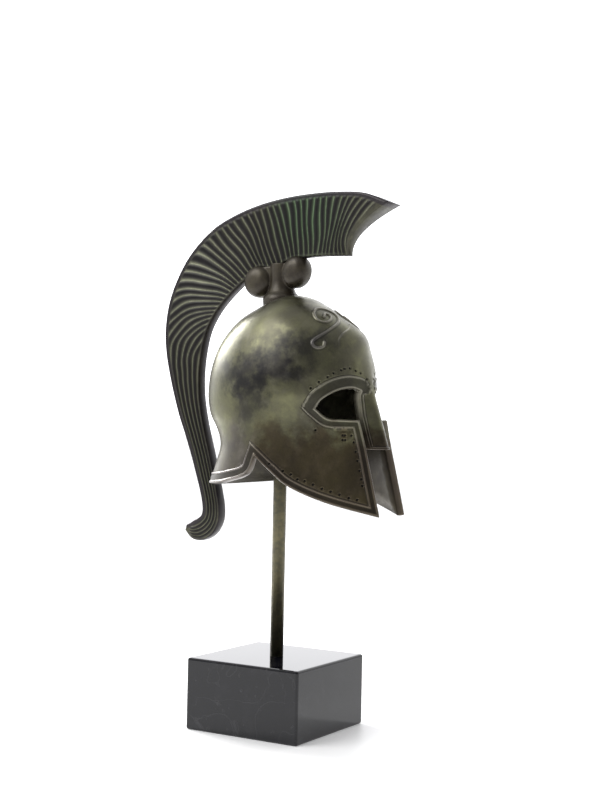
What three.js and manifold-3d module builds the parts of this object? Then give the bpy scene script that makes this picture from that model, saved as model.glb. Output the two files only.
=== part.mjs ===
// Miniature Greek bronze helmet with a ribbed crest, on a bronze rod in a marble base.
// Millimetres, +Z up. The origin is the centre of the underside of the base.
// The helmet faces -Y, its right side is -X, and the crest lies in the plane x = 0.
import * as THREE from 'three';
import { mergeVertices } from 'three/addons/utils/BufferGeometryUtils.js';
import Module from 'manifold-3d';

const wasm = await Module();
wasm.setup();

// ---------------------------------------------------------------- driving sizes
const BASE_SIDE = 50;
const BASE_HEIGHT = 27.5;
const BASE_BEVEL = 1;
const ROD_DIAMETER = 5.2;
const ROD_SOCKET_DEPTH = 10;
const ROD_TOP = 171.5;
const FIT_GAP = 0.3; // clearance between pieces that are screwed or pinned together

const WALL = 2.6; // cast wall of the bowl
const RIM_RISE = 0.6; // raised bands along the edges and round the eyes
const RIM_WIDTH = 2.9;
const FRONTLET_RISE = 0.5; // raised panel over the brow and the scrolls beside it
const FACE_SLIT = 21; // clear width between the two cheek pieces
const FACE_TOP = 130.4;
const FACE_BOTTOM = 80;
const SKIN_AXIS_Y = -4.6; // plane of the widest points of the bowl
const DOME_START_Z = 130; // above this the widest points drift forward
const DOME_DRIFT = 0.05;
const SKIN_SIDES = 48;
const SKIN_RINGS_PER_ROW = 1.1;

// Plan sections of the bowl's outer skin: front power 2 is an ellipse, lower powers are
// flatter sides that run to a point in front, where the face opening cuts them off.
const SKIN_SECTIONS = [
  { z: 83.0, halfWidth: 27.2, front: -59.6, back: 30.4, frontPower: 1.4 },
  { z: 94.5, halfWidth: 27.0, front: -56.6, back: 28.4, frontPower: 1.4 },
  { z: 103.0, halfWidth: 26.4, front: -54.4, back: 25.4, frontPower: 1.4 },
  { z: 110.0, halfWidth: 26.0, front: -52.5, back: 23.4, frontPower: 1.4 },
  { z: 116.0, halfWidth: 26.0, front: -51.0, back: 25.6, frontPower: 1.42 },
  { z: 121.0, halfWidth: 26.3, front: -49.3, back: 28.8, frontPower: 1.46 },
  { z: 125.5, halfWidth: 26.4, front: -43.6, back: 30.2, frontPower: 1.7 },
  { z: 130.5, halfWidth: 26.4, front: -39.6, back: 30.6, frontPower: 2.0 },
  { z: 138.0, halfWidth: 25.8, front: -38.4, back: 29.8, frontPower: 2.1 },
  { z: 146.0, halfWidth: 24.2, front: -36.9, back: 27.3, frontPower: 2.05 },
  { z: 153.0, halfWidth: 21.8, front: -33.6, back: 22.9, frontPower: 2.0 },
  { z: 159.0, halfWidth: 18.4, front: -26.6, back: 16.7, frontPower: 2.0 },
  { z: 164.0, halfWidth: 13.4, front: -18.6, back: 7.6, frontPower: 2.0 },
  { z: 167.2, halfWidth: 7.4, front: -12.4, back: 0.6, frontPower: 2.0 },
  { z: 168.3, halfWidth: 0, front: -6.5, back: -6.5, frontPower: 2.0 },
];

// Lower edge of the bowl seen from its side, from the back of the neck guard to the cusp.
const NECK_EDGE = [
  { y: 34, z: 94.3 },
  { y: 14, z: 95.4 },
  { y: 7, z: 96.7 },
  { y: 0.8, z: 98.3 },
  { y: -2.6, z: 100.8 },
  { y: -4.7, z: 106.2 },
];
// The same edge on from the cusp to the tip of the cheek piece.
const CHEEK_EDGE = [
  { y: -4.7, z: 106.2 },
  { y: -11.4, z: 100.6 },
  { y: -18.5, z: 95.2 },
  { y: -31.4, z: 89.8 },
  { y: -49.4, z: 84.8 },
];
const CHEEK_TIP = { y: -49.4, z: 84.8 };
const CHEEK_TOP = { y: -40.7, z: 120.4 };

// Eye opening and the outer line of its raised band, in a plane turned 45 degrees from the
// front: s runs along that plane towards the nose.
const EYE_TURN = 45;
const EYE_UPPER = [
  { s: 5.2, z: 124.1 },
  { s: 7.4, z: 127.6 },
  { s: 12.5, z: 130.8 },
  { s: 17.5, z: 132.1 },
  { s: 21.5, z: 131.8 },
  { s: 24.8, z: 130.6 },
];
const EYE_LOWER = [
  { s: 21.1, z: 120.1 },
  { s: 15, z: 120.2 },
  { s: 9.6, z: 120.7 },
  { s: 5.2, z: 124.1 },
];
const EYE_BAND_UPPER = [
  { s: -0.6, z: 123.2 },
  { s: 1.2, z: 126.5 },
  { s: 7.4, z: 132.4 },
  { s: 13, z: 136.0 },
  { s: 18, z: 136.9 },
  { s: 22.8, z: 136.2 },
  { s: 27.5, z: 133 },
];
const EYE_BAND_LOWER = [
  { s: 23.5, z: 117.0 },
  { s: 14, z: 117.2 },
  { s: 5.2, z: 119.0 },
  { s: -0.6, z: 123.2 },
];
const EYE_FOOT_Z = 119.6;

// Frontlet seen from the front, one side: a pointed panel over the brow.
const FRONTLET_EDGE = [
  { x: 0, z: 156.8 },
  { x: 4.2, z: 154.8 },
  { x: 8.4, z: 153.0 },
  { x: 11.0, z: 151.0 },
  { x: 12.3, z: 148.6 },
  { x: 13.4, z: 145.4 },
  { x: 16.4, z: 141.0 },
  { x: 17.5, z: 138.0 },
];
const FRONTLET_FOOT = { x: 12, z: 134 };

// Raised scroll beside the frontlet, seen from the front, one side: an S with curled ends.
const SCROLL_WIDTH = 1.3;
const SCROLL_LINE = [
  { x: 16.2, z: 148.8 },
  { x: 16.9, z: 146.9 },
  { x: 18.8, z: 146.4 },
  { x: 19.4, z: 148.2 },
  { x: 17.4, z: 151.0 },
  { x: 13.3, z: 153.6 },
  { x: 8.8, z: 156.2 },
  { x: 5.4, z: 159.2 },
  { x: 5.6, z: 161.8 },
  { x: 9.4, z: 162.4 },
  { x: 12.8, z: 160.4 },
  { x: 13.2, z: 158.0 },
  { x: 10.6, z: 157.9 },
];

// Nose guard: a wedge with a narrow front strip and sides that rake back.
const NOSE_SECTIONS = [
  { z: 109.5, ridge: -47.5, halfWidth: 4.2, rake: 5.4 },
  { z: 116, ridge: -45.6, halfWidth: 4.4, rake: 5.6 },
  { z: 122, ridge: -43.6, halfWidth: 4.6, rake: 5.2 },
  { z: 128, ridge: -41.6, halfWidth: 5.0, rake: 4.0 },
  { z: 133.5, ridge: -40.0, halfWidth: 5.6, rake: 2.4 },
];
const NOSE_STRIP = 1; // half width of the front strip
const NOSE_WALL = 2.6;

// Crest in its own plane: the inner edge, the outer edge, and the half thickness at each.
const CREST_ROWS = [
  { innerY: -30.2, innerZ: 182.8, outerY: -48.3, outerZ: 201.8, innerHalf: 1.2, outerHalf: 5.5 },
  { innerY: -25.0, innerZ: 183.0, outerY: -38.0, outerZ: 205.8, innerHalf: 1.4, outerHalf: 5.2 },
  { innerY: -18.5, innerZ: 183.2, outerY: -26.5, outerZ: 207.1, innerHalf: 1.7, outerHalf: 4.9 },
  { innerY: -11.5, innerZ: 183.0, outerY: -14.5, outerZ: 207.2, innerHalf: 2.0, outerHalf: 4.6 },
  { innerY: -4.0, innerZ: 182.4, outerY: -2.6, outerZ: 206.4, innerHalf: 2.2, outerHalf: 4.4 },
  { innerY: 3.6, innerZ: 179.2, outerY: 9.3, outerZ: 204.5, innerHalf: 2.3, outerHalf: 4.2 },
  { innerY: 10.5, innerZ: 179.8, outerY: 21.0, outerZ: 201.1, innerHalf: 2.4, outerHalf: 4.1 },
  { innerY: 16.5, innerZ: 175.6, outerY: 32.0, outerZ: 196.0, innerHalf: 2.4, outerHalf: 4.0 },
  { innerY: 22.0, innerZ: 171.3, outerY: 42.2, outerZ: 187.3, innerHalf: 2.4, outerHalf: 3.9 },
  { innerY: 27.2, innerZ: 166.6, outerY: 49.2, outerZ: 177.2, innerHalf: 2.4, outerHalf: 3.8 },
  { innerY: 31.6, innerZ: 161.4, outerY: 53.6, outerZ: 166.4, innerHalf: 2.4, outerHalf: 3.7 },
  { innerY: 35.2, innerZ: 155.0, outerY: 55.2, outerZ: 155.6, innerHalf: 2.4, outerHalf: 3.6 },
  { innerY: 37.3, innerZ: 147.0, outerY: 54.6, outerZ: 146.5, innerHalf: 2.4, outerHalf: 3.5 },
  { innerY: 38.3, innerZ: 138.0, outerY: 52.7, outerZ: 137.6, innerHalf: 2.4, outerHalf: 3.4 },
  { innerY: 38.0, innerZ: 129.0, outerY: 50.3, outerZ: 129.0, innerHalf: 2.4, outerHalf: 3.3 },
  { innerY: 36.5, innerZ: 120.5, outerY: 47.5, outerZ: 120.5, innerHalf: 2.4, outerHalf: 3.2 },
  { innerY: 34.4, innerZ: 112.5, outerY: 44.2, outerZ: 112.5, innerHalf: 2.4, outerHalf: 3.1 },
  { innerY: 32.2, innerZ: 105.0, outerY: 41.2, outerZ: 104.6, innerHalf: 2.4, outerHalf: 3.0 },
  { innerY: 30.2, innerZ: 97.5, outerY: 38.6, outerZ: 96.8, innerHalf: 2.4, outerHalf: 2.9 },
  { innerY: 28.4, innerZ: 90.5, outerY: 36.4, outerZ: 89.8, innerHalf: 2.4, outerHalf: 2.8 },
  { innerY: 27.2, innerZ: 84.5, outerY: 35.3, outerZ: 84.2, innerHalf: 2.4, outerHalf: 2.7 },
  { innerY: 27.4, innerZ: 78.6, outerY: 35.7, outerZ: 81.0, innerHalf: 2.3, outerHalf: 2.6 },
  { innerY: 30.2, innerZ: 73.6, outerY: 37.6, outerZ: 79.4, innerHalf: 2.2, outerHalf: 2.4 },
  { innerY: 35.2, innerZ: 70.6, outerY: 39.7, outerZ: 78.4, innerHalf: 2.0, outerHalf: 2.2 },
  { innerY: 40.6, innerZ: 70.9, outerY: 41.6, outerZ: 77.4, innerHalf: 1.8, outerHalf: 1.8 },
  { innerY: 44.6, innerZ: 74.2, outerY: 43.8, outerZ: 76.4, innerHalf: 1.4, outerHalf: 1.4 },
];
const CREST_FRONT_HOLLOW = 5.6; // how far the front end is scooped back between its corners
const CREST_FRONT_ROWS = 2.5; // rows over which that scoop fades out
const RIB_COUNT = 44; // ribs that run from the inner to the outer edge
const RIB_LAST_ROW = 10.5; // they end here, and the tail has lengthwise ribs
const RIB_HEIGHT = 0.7;
const TAIL_FIRST_ROW = 12;
const TAIL_STEPS_PER_ROW = 1;
const RIB_BORDER = 0.07; // plain border along both edges, as a share of the crest's depth
const RIB_LANES = 6; // faces across the crest, which carry the lengthwise ribs

// ---------------------------------------------------------------- shape helpers
const mix = (a, b, share) => a + (b - a) * share;
const fade = THREE.MathUtils.smoothstep;

/** Reads a table of rows at any place between them, smoothly, for all its columns at once. */
function readTable(rows, place) {
  const last = rows.length - 1;
  const index = Math.min(Math.floor(place), last - 1);
  const share = place - index;
  const result = {};
  for (const column of Object.keys(rows[0])) {
    const here = rows[index][column];
    const next = rows[index + 1][column];
    const before = index > 0 ? rows[index - 1][column] : 2 * here - next;
    const after = index < last - 1 ? rows[index + 2][column] : 2 * next - here;
    const startSlope = (next - before) / 2;
    const endSlope = (after - here) / 2;
    const cubic = 2 * (here - next) + startSlope + endSlope;
    const square = 3 * (next - here) - 2 * startSlope - endSlope;
    result[column] = ((cubic * share + square) * share + startSlope) * share + here;
  }
  return result;
}

/** Makes a closed mesh from rings of points; each ring has as many points, in one sense. */
function loft(rings, capStart, capEnd) {
  const size = rings[0].length;
  const points = rings.flat();
  const triangles = [];
  for (let ring = 0; ring + 1 < rings.length; ring++) {
    for (let i = 0; i < size; i++) {
      const a = ring * size + i;
      const b = ring * size + ((i + 1) % size);
      triangles.push(a, b, b + size, a, b + size, a + size);
    }
  }
  capStart(triangles, 0, size, true);
  capEnd(triangles, (rings.length - 1) * size, size, false);
  const geometry = new THREE.BufferGeometry();
  geometry.setAttribute('position', new THREE.Float32BufferAttribute(
    points.flatMap((p) => [p.x, p.y, p.z]), 3));
  geometry.setIndex(triangles);
  return geometry;
}

/** Closes a ring with a fan from its first point. */
function fanCap(triangles, first, size, reversed) {
  for (let i = 1; i + 1 < size; i++) {
    if (reversed) triangles.push(first, first + i + 1, first + i);
    else triangles.push(first, first + i, first + i + 1);
  }
}

/** Closes a ring whose two halves face each other with a strip between the halves. */
function stripCap(triangles, first, size, reversed) {
  for (let i = 0; i + 1 < size / 2; i++) {
    const a = first + i;
    const b = first + i + 1;
    const c = first + size - 2 - i;
    const d = first + size - 1 - i;
    if (reversed) triangles.push(a, c, b, a, d, c);
    else triangles.push(a, b, c, a, c, d);
  }
}

/** Turns a geometry into a solid for joins and cuts, with its faces pointing out. */
function solid(geometry) {
  const bare = geometry.clone();
  bare.deleteAttribute('normal');
  bare.deleteAttribute('uv');
  const merged = mergeVertices(bare, 1e-4);
  const vertProperties = new Float32Array(merged.attributes.position.array);
  const kept = [];
  const index = merged.index.array;
  let volume = 0;
  for (let i = 0; i < index.length; i += 3) {
    const [a, b, c] = [index[i], index[i + 1], index[i + 2]];
    if (a === b || b === c || c === a) continue;
    kept.push(a, b, c);
    const [p, q, r] = [a, b, c].map((k) => new THREE.Vector3().fromArray(vertProperties, 3 * k));
    volume += p.dot(q.cross(r));
  }
  if (volume < 0) kept.reverse();
  const triVerts = new Uint32Array(kept);
  return new wasm.Manifold(new wasm.Mesh({ numProp: 3, vertProperties, triVerts }));
}

/** Names a solid and gives it its material. */
function piece(name, body, material) {
  const mesh = body.getMesh();
  const geometry = new THREE.BufferGeometry();
  geometry.setAttribute('position', new THREE.Float32BufferAttribute(mesh.vertProperties, 3));
  geometry.setIndex(new THREE.Uint32BufferAttribute(mesh.triVerts, 1));
  geometry.computeVertexNormals();
  const result = new THREE.Mesh(geometry, material);
  result.name = name;
  return result;
}

/** Extrudes an outline of [across, up] points between two depths along a level direction. */
function prism(outline, turnDegrees, near, far) {
  const shape = new THREE.Shape(outline.map(([across, up]) => new THREE.Vector2(across, up)));
  const geometry = new THREE.ExtrudeGeometry(shape, { depth: far - near, bevelEnabled: false });
  geometry.translate(0, 0, near);
  const turn = THREE.MathUtils.degToRad(turnDegrees);
  const across = new THREE.Vector3(Math.cos(turn), -Math.sin(turn), 0);
  const up = new THREE.Vector3(0, 0, 1);
  const outward = new THREE.Vector3(-Math.sin(turn), -Math.cos(turn), 0);
  geometry.applyMatrix4(new THREE.Matrix4().makeBasis(across, up, outward));
  return geometry;
}

/** The same geometry on the other side of the plane x = 0. */
function mirrored(geometry) {
  const copy = geometry.clone();
  copy.scale(-1, 1, 1);
  return copy;
}

const bothSides = (geometry) => solid(geometry).add(solid(mirrored(geometry)));
const spline = (points, steps) => new THREE.SplineCurve(
  points.map(([across, up]) => new THREE.Vector2(across, up))).getPoints(steps)
  .map((p) => [p.x, p.y]);

// ---------------------------------------------------------------- marble base and rod
function makeBase() {
  const half = BASE_SIDE / 2 - BASE_BEVEL;
  const shape = new THREE.Shape([
    new THREE.Vector2(-half, -half), new THREE.Vector2(half, -half),
    new THREE.Vector2(half, half), new THREE.Vector2(-half, half),
  ]);
  const block = new THREE.ExtrudeGeometry(shape, {
    depth: BASE_HEIGHT - 2 * BASE_BEVEL, bevelThickness: BASE_BEVEL, bevelSize: BASE_BEVEL,
    bevelSegments: 1,
  });
  block.translate(0, 0, BASE_BEVEL);
  const socket = uprightCylinder(ROD_DIAMETER / 2 + FIT_GAP,
    BASE_HEIGHT - ROD_SOCKET_DEPTH - FIT_GAP, BASE_HEIGHT + 1);
  return solid(block).subtract(solid(socket));
}

function uprightCylinder(radius, bottom, top, sides = 24) {
  const geometry = new THREE.CylinderGeometry(radius, radius, top - bottom, sides);
  geometry.rotateX(Math.PI / 2);
  geometry.translate(0, 0, (bottom + top) / 2);
  return geometry;
}

const makeRod = () => solid(
  uprightCylinder(ROD_DIAMETER / 2, BASE_HEIGHT - ROD_SOCKET_DEPTH, ROD_TOP));

// ---------------------------------------------------------------- helmet bowl
/** Point of the outer skin: angle 0 is the front, place is the row in SKIN_SECTIONS. */
function skinPoint(angle, place) {
  const row = readTable(SKIN_SECTIONS, place);
  const axisY = SKIN_AXIS_Y - Math.max(0, row.z - DOME_START_Z) * DOME_DRIFT;
  const forward = Math.cos(angle);
  const power = forward > 0 ? row.frontPower : 2;
  const reach = forward > 0 ? axisY - row.front : row.back - axisY;
  const curl = (value) => Math.sign(value) * Math.abs(value) ** (2 / power);
  return new THREE.Vector3(
    row.halfWidth * curl(Math.sin(angle)), axisY - reach * curl(forward), row.z);
}

/** Point at a depth under the skin (negative depths lie above it). */
function offsetPoint(angle, place, depth) {
  const step = 0.002;
  const lastPlace = SKIN_SECTIONS.length - 1;
  const low = Math.max(place - step, 0);
  const high = Math.min(place + step, lastPlace - 0.02);
  const along = skinPoint(angle + step, place).sub(skinPoint(angle - step, place));
  const rise = skinPoint(angle, high).sub(skinPoint(angle, low));
  const outward = along.cross(rise).normalize();
  return skinPoint(angle, place).addScaledVector(outward, -depth);
}

/** Closed solid inside the skin at a depth; its foot is carried down past the lower edges. */
function skinSolid(depth) {
  const lastPlace = SKIN_SECTIONS.length - 1;
  const crownPlace = lastPlace - 0.35;
  const rings = [];
  const ringAt = (place) => Array.from({ length: SKIN_SIDES }, (unused, i) => (
    offsetPoint(2 * Math.PI * (i + 0.5) / SKIN_SIDES, place, depth)));
  const foot = ringAt(0);
  rings.push(foot.map((p) => p.clone().setZ(p.z - 4)));
  const count = Math.ceil(crownPlace * SKIN_RINGS_PER_ROW);
  for (let i = 0; i <= count; i++) rings.push(ringAt(crownPlace * i / count));
  const apex = SKIN_SECTIONS[lastPlace];
  const top = new THREE.Vector3(0, apex.front, apex.z - depth);
  rings.push(foot.map(() => top.clone()));
  return solid(loft(rings, fanCap, fanCap));
}

/** Moves each point of a line of [across, up] points squarely aside, to the left of its run. */
function shifted(line, distance) {
  return line.map(([across, up], i) => {
    const [beforeAcross, beforeUp] = line[Math.max(i - 1, 0)];
    const [afterAcross, afterUp] = line[Math.min(i + 1, line.length - 1)];
    const run = new THREE.Vector2(afterAcross - beforeAcross, afterUp - beforeUp).normalize();
    return [across - run.y * distance, up + run.x * distance];
  });
}

/** Outline of the strip along a line between two distances from it. */
const strip = (line, from, to) => [...shifted(line, from), ...shifted(line, to).reverse()];

function makeNoseGuard() {
  const rings = NOSE_SECTIONS.map(({ z, ridge, halfWidth, rake }) => [
    [-NOSE_STRIP, ridge], [NOSE_STRIP, ridge], [halfWidth, ridge + rake],
    [halfWidth, ridge + rake + NOSE_WALL * 0.8], [0, ridge + NOSE_WALL * 1.5],
    [-halfWidth, ridge + rake + NOSE_WALL * 0.8], [-halfWidth, ridge + rake],
  ].map(([x, y]) => new THREE.Vector3(x, y, z)));
  return solid(loft(rings, noseCap, noseCap));
}

/** Closes the nose guard's ring, whose back is notched: two halves that share the notch. */
function noseCap(triangles, first, size, reversed) {
  const notch = first + 4;
  for (const [a, b] of [[2, 3], [1, 2], [0, 1], [6, 0], [5, 6]]) {
    if (reversed) triangles.push(first + a, notch, first + b);
    else triangles.push(first + a, first + b, notch);
  }
}

function makeBowl() {
  const neckLine = spline(NECK_EDGE.map(({ y, z }) => [y, z]), 16);
  const cheekLine = spline(CHEEK_EDGE.map(({ y, z }) => [y, z]), 12);
  const side = (outline, width) => prism(outline.map(([y, z]) => [-y, z]), 90, -width, width);
  const reach = 60;
  const keep = side([
    ...neckLine, ...cheekLine.slice(1), [CHEEK_TOP.y, CHEEK_TOP.z],
    [-reach, CHEEK_TOP.z + 0.4], [-reach, 175], [reach, 175], [reach, NECK_EDGE[0].z],
  ], 40);

  const slit = new THREE.BoxGeometry(FACE_SLIT, 40, FACE_TOP - FACE_BOTTOM);
  slit.translate(0, -50, (FACE_TOP + FACE_BOTTOM) / 2);
  const eyeUpper = spline(EYE_UPPER.map(({ s, z }) => [s, z]), 14);
  const eyeLower = spline(EYE_LOWER.map(({ s, z }) => [s, z]), 8);
  const eyeFoot = [[eyeUpper.at(-1)[0], EYE_FOOT_Z], [eyeLower[0][0], EYE_FOOT_Z]];
  const eyeHole = prism([...eyeUpper, ...eyeFoot, ...eyeLower.slice(0, -1)], EYE_TURN, 8, 70);
  const bandUpper = spline(EYE_BAND_UPPER.map(({ s, z }) => [s, z]), 14);
  const bandLower = spline(EYE_BAND_LOWER.map(({ s, z }) => [s, z]), 8);
  const eyeBand = prism([...bandUpper, ...bandLower.slice(0, -1)], EYE_TURN, 14, 70);

  const frontlet = prism([
    ...FRONTLET_EDGE.map(({ x, z }) => [x, z]), [FRONTLET_FOOT.x, FRONTLET_FOOT.z],
    [-FRONTLET_FOOT.x, FRONTLET_FOOT.z],
    ...FRONTLET_EDGE.slice(1).reverse().map(({ x, z }) => [-x, z]),
  ], 0, 20, 60);

  const scrollLine = spline(SCROLL_LINE.map(({ x, z }) => [x, z]), 18);
  const scroll = prism(strip(scrollLine, -SCROLL_WIDTH / 2, SCROLL_WIDTH / 2), 0, 8, 60);
  const frontLine = [[CHEEK_TIP.y, CHEEK_TIP.z], [CHEEK_TOP.y, CHEEK_TOP.z + 2]];
  const lowerLine = [[40, NECK_EDGE[0].z], ...neckLine.slice(1), ...cheekLine.slice(1)];
  const edgeBands = solid(side(strip(lowerLine, 0, -RIM_WIDTH), 40))
    .add(solid(side(strip(frontLine, 0, -RIM_WIDTH), 40)));

  const skin = skinSolid(0);
  const hollow = skinSolid(WALL);
  const raisedBands = skinSolid(-RIM_RISE).intersect(edgeBands.add(bothSides(eyeBand)));
  const raisedFront = skinSolid(-FRONTLET_RISE).intersect(solid(frontlet).add(bothSides(scroll)));
  const boreForRod = uprightCylinder(ROD_DIAMETER / 2 + FIT_GAP, 150, 175);
  return skin.add(raisedBands).add(raisedFront)
    .subtract(hollow)
    .intersect(solid(keep))
    .subtract(bothSides(eyeHole))
    .subtract(solid(slit))
    .add(makeNoseGuard())
    .subtract(solid(boreForRod));
}

// ---------------------------------------------------------------- crest
/** Point of the crest: place is the row, depth runs 0 to 1 from the inner to the outer edge. */
function crestPoint(place, depth, side, lift, clearance) {
  const row = readTable(CREST_ROWS, place);
  const scoop = CREST_FRONT_HOLLOW * 4 * depth * (1 - depth)
    * (1 - fade(place, 0, CREST_FRONT_ROWS));
  const inward = new THREE.Vector2(row.innerY - row.outerY, row.innerZ - row.outerZ);
  inward.setLength(clearance * (1 - depth));
  return new THREE.Vector3(
    side * (mix(row.innerHalf, row.outerHalf, depth) + lift + clearance),
    mix(row.innerY, row.outerY, depth) + scoop + inward.x,
    mix(row.innerZ, row.outerZ, depth) + inward.y);
}

/** The crest, or with a clearance the larger solid that its neighbours keep out of. */
function makeCrest(clearance = 0) {
  const depths = [0];
  for (let i = 0; i <= RIB_LANES; i++) {
    depths.push(mix(RIB_BORDER, 1 - RIB_BORDER, i / RIB_LANES));
  }
  depths.push(1);
  const stations = [];
  for (let i = 0; i <= 2 * RIB_COUNT; i++) {
    stations.push({ place: RIB_LAST_ROW * i / (2 * RIB_COUNT), across: i % 2 ? 1 : -1 });
  }
  const lastRow = CREST_ROWS.length - 1;
  const tailSteps = Math.round((lastRow - RIB_LAST_ROW) * TAIL_STEPS_PER_ROW);
  for (let i = 1; i <= tailSteps; i++) {
    stations.push({ place: mix(RIB_LAST_ROW, lastRow, i / tailSteps), across: 0 });
  }
  const rings = stations.map(({ place, across }) => {
    const lengthwise = fade(place, RIB_LAST_ROW, TAIL_FIRST_ROW);
    const half = (side) => depths.map((depth, lane) => {
      const ribbed = lane > 0 && lane < depths.length - 1;
      const wave = across + lengthwise * (lane % 2 ? 1 : -1);
      return crestPoint(place, depth, side, ribbed ? wave * RIB_HEIGHT / 2 : 0, clearance);
    });
    return [...half(1), ...half(-1).reverse()];
  });
  return solid(loft(rings, stripCap, stripCap));
}

// ---------------------------------------------------------------- crest holder
const NECK_PROFILE = [
  { radius: 8.2, z: 160 },
  { radius: 7.9, z: 167.0 },
  { radius: 7.1, z: 168.4 },
  { radius: 5.7, z: 169.8 },
  { radius: 4.8, z: 172.0 },
  { radius: 4.6, z: 175.0 },
  { radius: 5.2, z: 181.0 },
];
const NECK_Y = 1.0;
const DRUMS = [
  { y: -5.8, z: 176.8, radius: 5.4, halfLength: 4.6 },
  { y: 10.2, z: 174.0, radius: 5.3, halfLength: 4.4 },
];
const DRUM_ROUNDING = 2.2;

function makeDrum({ y, z, radius, halfLength }) {
  const profile = [new THREE.Vector2(0, -halfLength)];
  const steps = 3;
  for (const end of [-1, 1]) {
    for (let i = 0; i <= steps; i++) {
      const turn = (end < 0 ? i : steps - i) / steps * Math.PI / 2;
      profile.push(new THREE.Vector2(
        radius - DRUM_ROUNDING * (1 - Math.sin(turn)),
        end * (halfLength - DRUM_ROUNDING * (1 - Math.cos(turn)))));
    }
  }
  profile.push(new THREE.Vector2(0, halfLength));
  const geometry = new THREE.LatheGeometry(profile, 16);
  geometry.rotateZ(Math.PI / 2);
  geometry.translate(0, y, z);
  return solid(geometry);
}

function makeHolder() {
  const profile = [
    new THREE.Vector2(0, NECK_PROFILE[0].z),
    ...NECK_PROFILE.map(({ radius, z }) => new THREE.Vector2(radius, z)),
    new THREE.Vector2(0, NECK_PROFILE.at(-1).z),
  ];
  const neckShape = new THREE.LatheGeometry(profile, 20);
  neckShape.rotateX(Math.PI / 2);
  neckShape.translate(0, NECK_Y, 0);
  const boreForRod = uprightCylinder(ROD_DIAMETER / 2 + FIT_GAP, 150, ROD_TOP + FIT_GAP);
  return DRUMS.reduce((body, drum) => body.add(makeDrum(drum)), solid(neckShape))
    .subtract(skinSolid(-FIT_GAP))
    .subtract(solid(boreForRod))
    .subtract(makeCrest(FIT_GAP));
}

// ---------------------------------------------------------------- assembly
const bronze = new THREE.MeshStandardMaterial({ color: 0x6f6a3c, roughness: 0.38, metalness: 1 });
const darkBronze = new THREE.MeshStandardMaterial({ color: 0x3d3a2e, roughness: 0.5, metalness: 1 });
const rodBronze = new THREE.MeshStandardMaterial({ color: 0x6a6448, roughness: 0.5, metalness: 1 });
const marble = new THREE.MeshStandardMaterial({ color: 0x1b1c1f, roughness: 0.12, metalness: 0 });

const helmet = new THREE.Group();
helmet.add(
  piece('marble_base', makeBase(), marble),
  piece('support_rod', makeRod(), rodBronze),
  piece('helmet_bowl', makeBowl(), bronze),
  piece('crest_holder', makeHolder(), bronze),
  piece('crest', makeCrest(), darkBronze),
);
export default helmet;
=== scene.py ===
import math

import bpy
import numpy as np
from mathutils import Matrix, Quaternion, Vector, kdtree
from mathutils.geometry import delaunay_2d_cdt


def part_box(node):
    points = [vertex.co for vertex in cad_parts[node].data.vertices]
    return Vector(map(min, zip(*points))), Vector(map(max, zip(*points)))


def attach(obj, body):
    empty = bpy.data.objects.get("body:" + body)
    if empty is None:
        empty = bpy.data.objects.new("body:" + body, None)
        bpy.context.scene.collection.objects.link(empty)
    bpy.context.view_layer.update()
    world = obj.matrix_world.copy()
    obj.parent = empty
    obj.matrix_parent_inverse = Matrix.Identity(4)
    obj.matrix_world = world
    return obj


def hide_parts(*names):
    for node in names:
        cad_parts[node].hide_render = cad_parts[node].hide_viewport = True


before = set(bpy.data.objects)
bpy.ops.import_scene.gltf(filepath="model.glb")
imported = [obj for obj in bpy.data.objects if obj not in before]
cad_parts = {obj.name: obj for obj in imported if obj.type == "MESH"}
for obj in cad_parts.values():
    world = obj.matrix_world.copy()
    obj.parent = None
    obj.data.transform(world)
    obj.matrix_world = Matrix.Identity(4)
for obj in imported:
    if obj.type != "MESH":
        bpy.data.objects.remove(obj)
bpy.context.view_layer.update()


# ---------------------------------------------------------------- Camera
# A little below the brow, in front of the helmet's right cheek, so that the open face,
# the ribbed side of the crest and two faces of the base are all in view.
MM = 0.001
VIEW_AZIMUTH = math.radians(-58.6)
VIEW_ELEVATION = math.radians(-0.83)
VIEW_ROLL = math.radians(1.18)
VIEW_DISTANCE = 545.8 * MM
VIEW_AIM = Vector((3.7, -6.1, 127.7)) * MM
LENS_MM = 62.6

away = Vector((math.sin(VIEW_AZIMUTH) * math.cos(VIEW_ELEVATION),
               -math.cos(VIEW_AZIMUTH) * math.cos(VIEW_ELEVATION),
               math.sin(VIEW_ELEVATION)))
camera = bpy.data.objects.new("camera", bpy.data.cameras.new("camera"))
camera.data.lens = LENS_MM
camera.data.sensor_width = 36
camera.location = VIEW_AIM + away * VIEW_DISTANCE
camera.rotation_mode = "QUATERNION"
camera.rotation_quaternion = (
    (-away).to_track_quat("-Z", "Y") @ Quaternion((0, 0, 1), VIEW_ROLL))
bpy.context.collection.objects.link(camera)
bpy.context.scene.camera = camera


# ---------------------------------------------------------------- Marble base
# A sawn block of black marble with polished faces and lightly broken edges.
# The rod stands in the middle of its top.
BASE_BEVEL = 0.9 * MM


def make_object(name, points, faces, smooth=True):
    """A new mesh object from points in metres, at the origin."""
    mesh = bpy.data.meshes.new(name)
    mesh.from_pydata([tuple(p) for p in points], [], [tuple(f) for f in faces])
    mesh.validate()
    if smooth:
        mesh.shade_smooth()
    made = bpy.data.objects.new(name, mesh)
    bpy.context.collection.objects.link(made)
    return made


def baked(made, material):
    """Turns an object with modifiers into a plain mesh with one material."""
    dg = bpy.context.evaluated_depsgraph_get()
    mesh = bpy.data.meshes.new_from_object(made.evaluated_get(dg))
    made.modifiers.clear()
    made.data = mesh
    mesh.materials.clear()
    mesh.materials.append(material)
    return made


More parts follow.
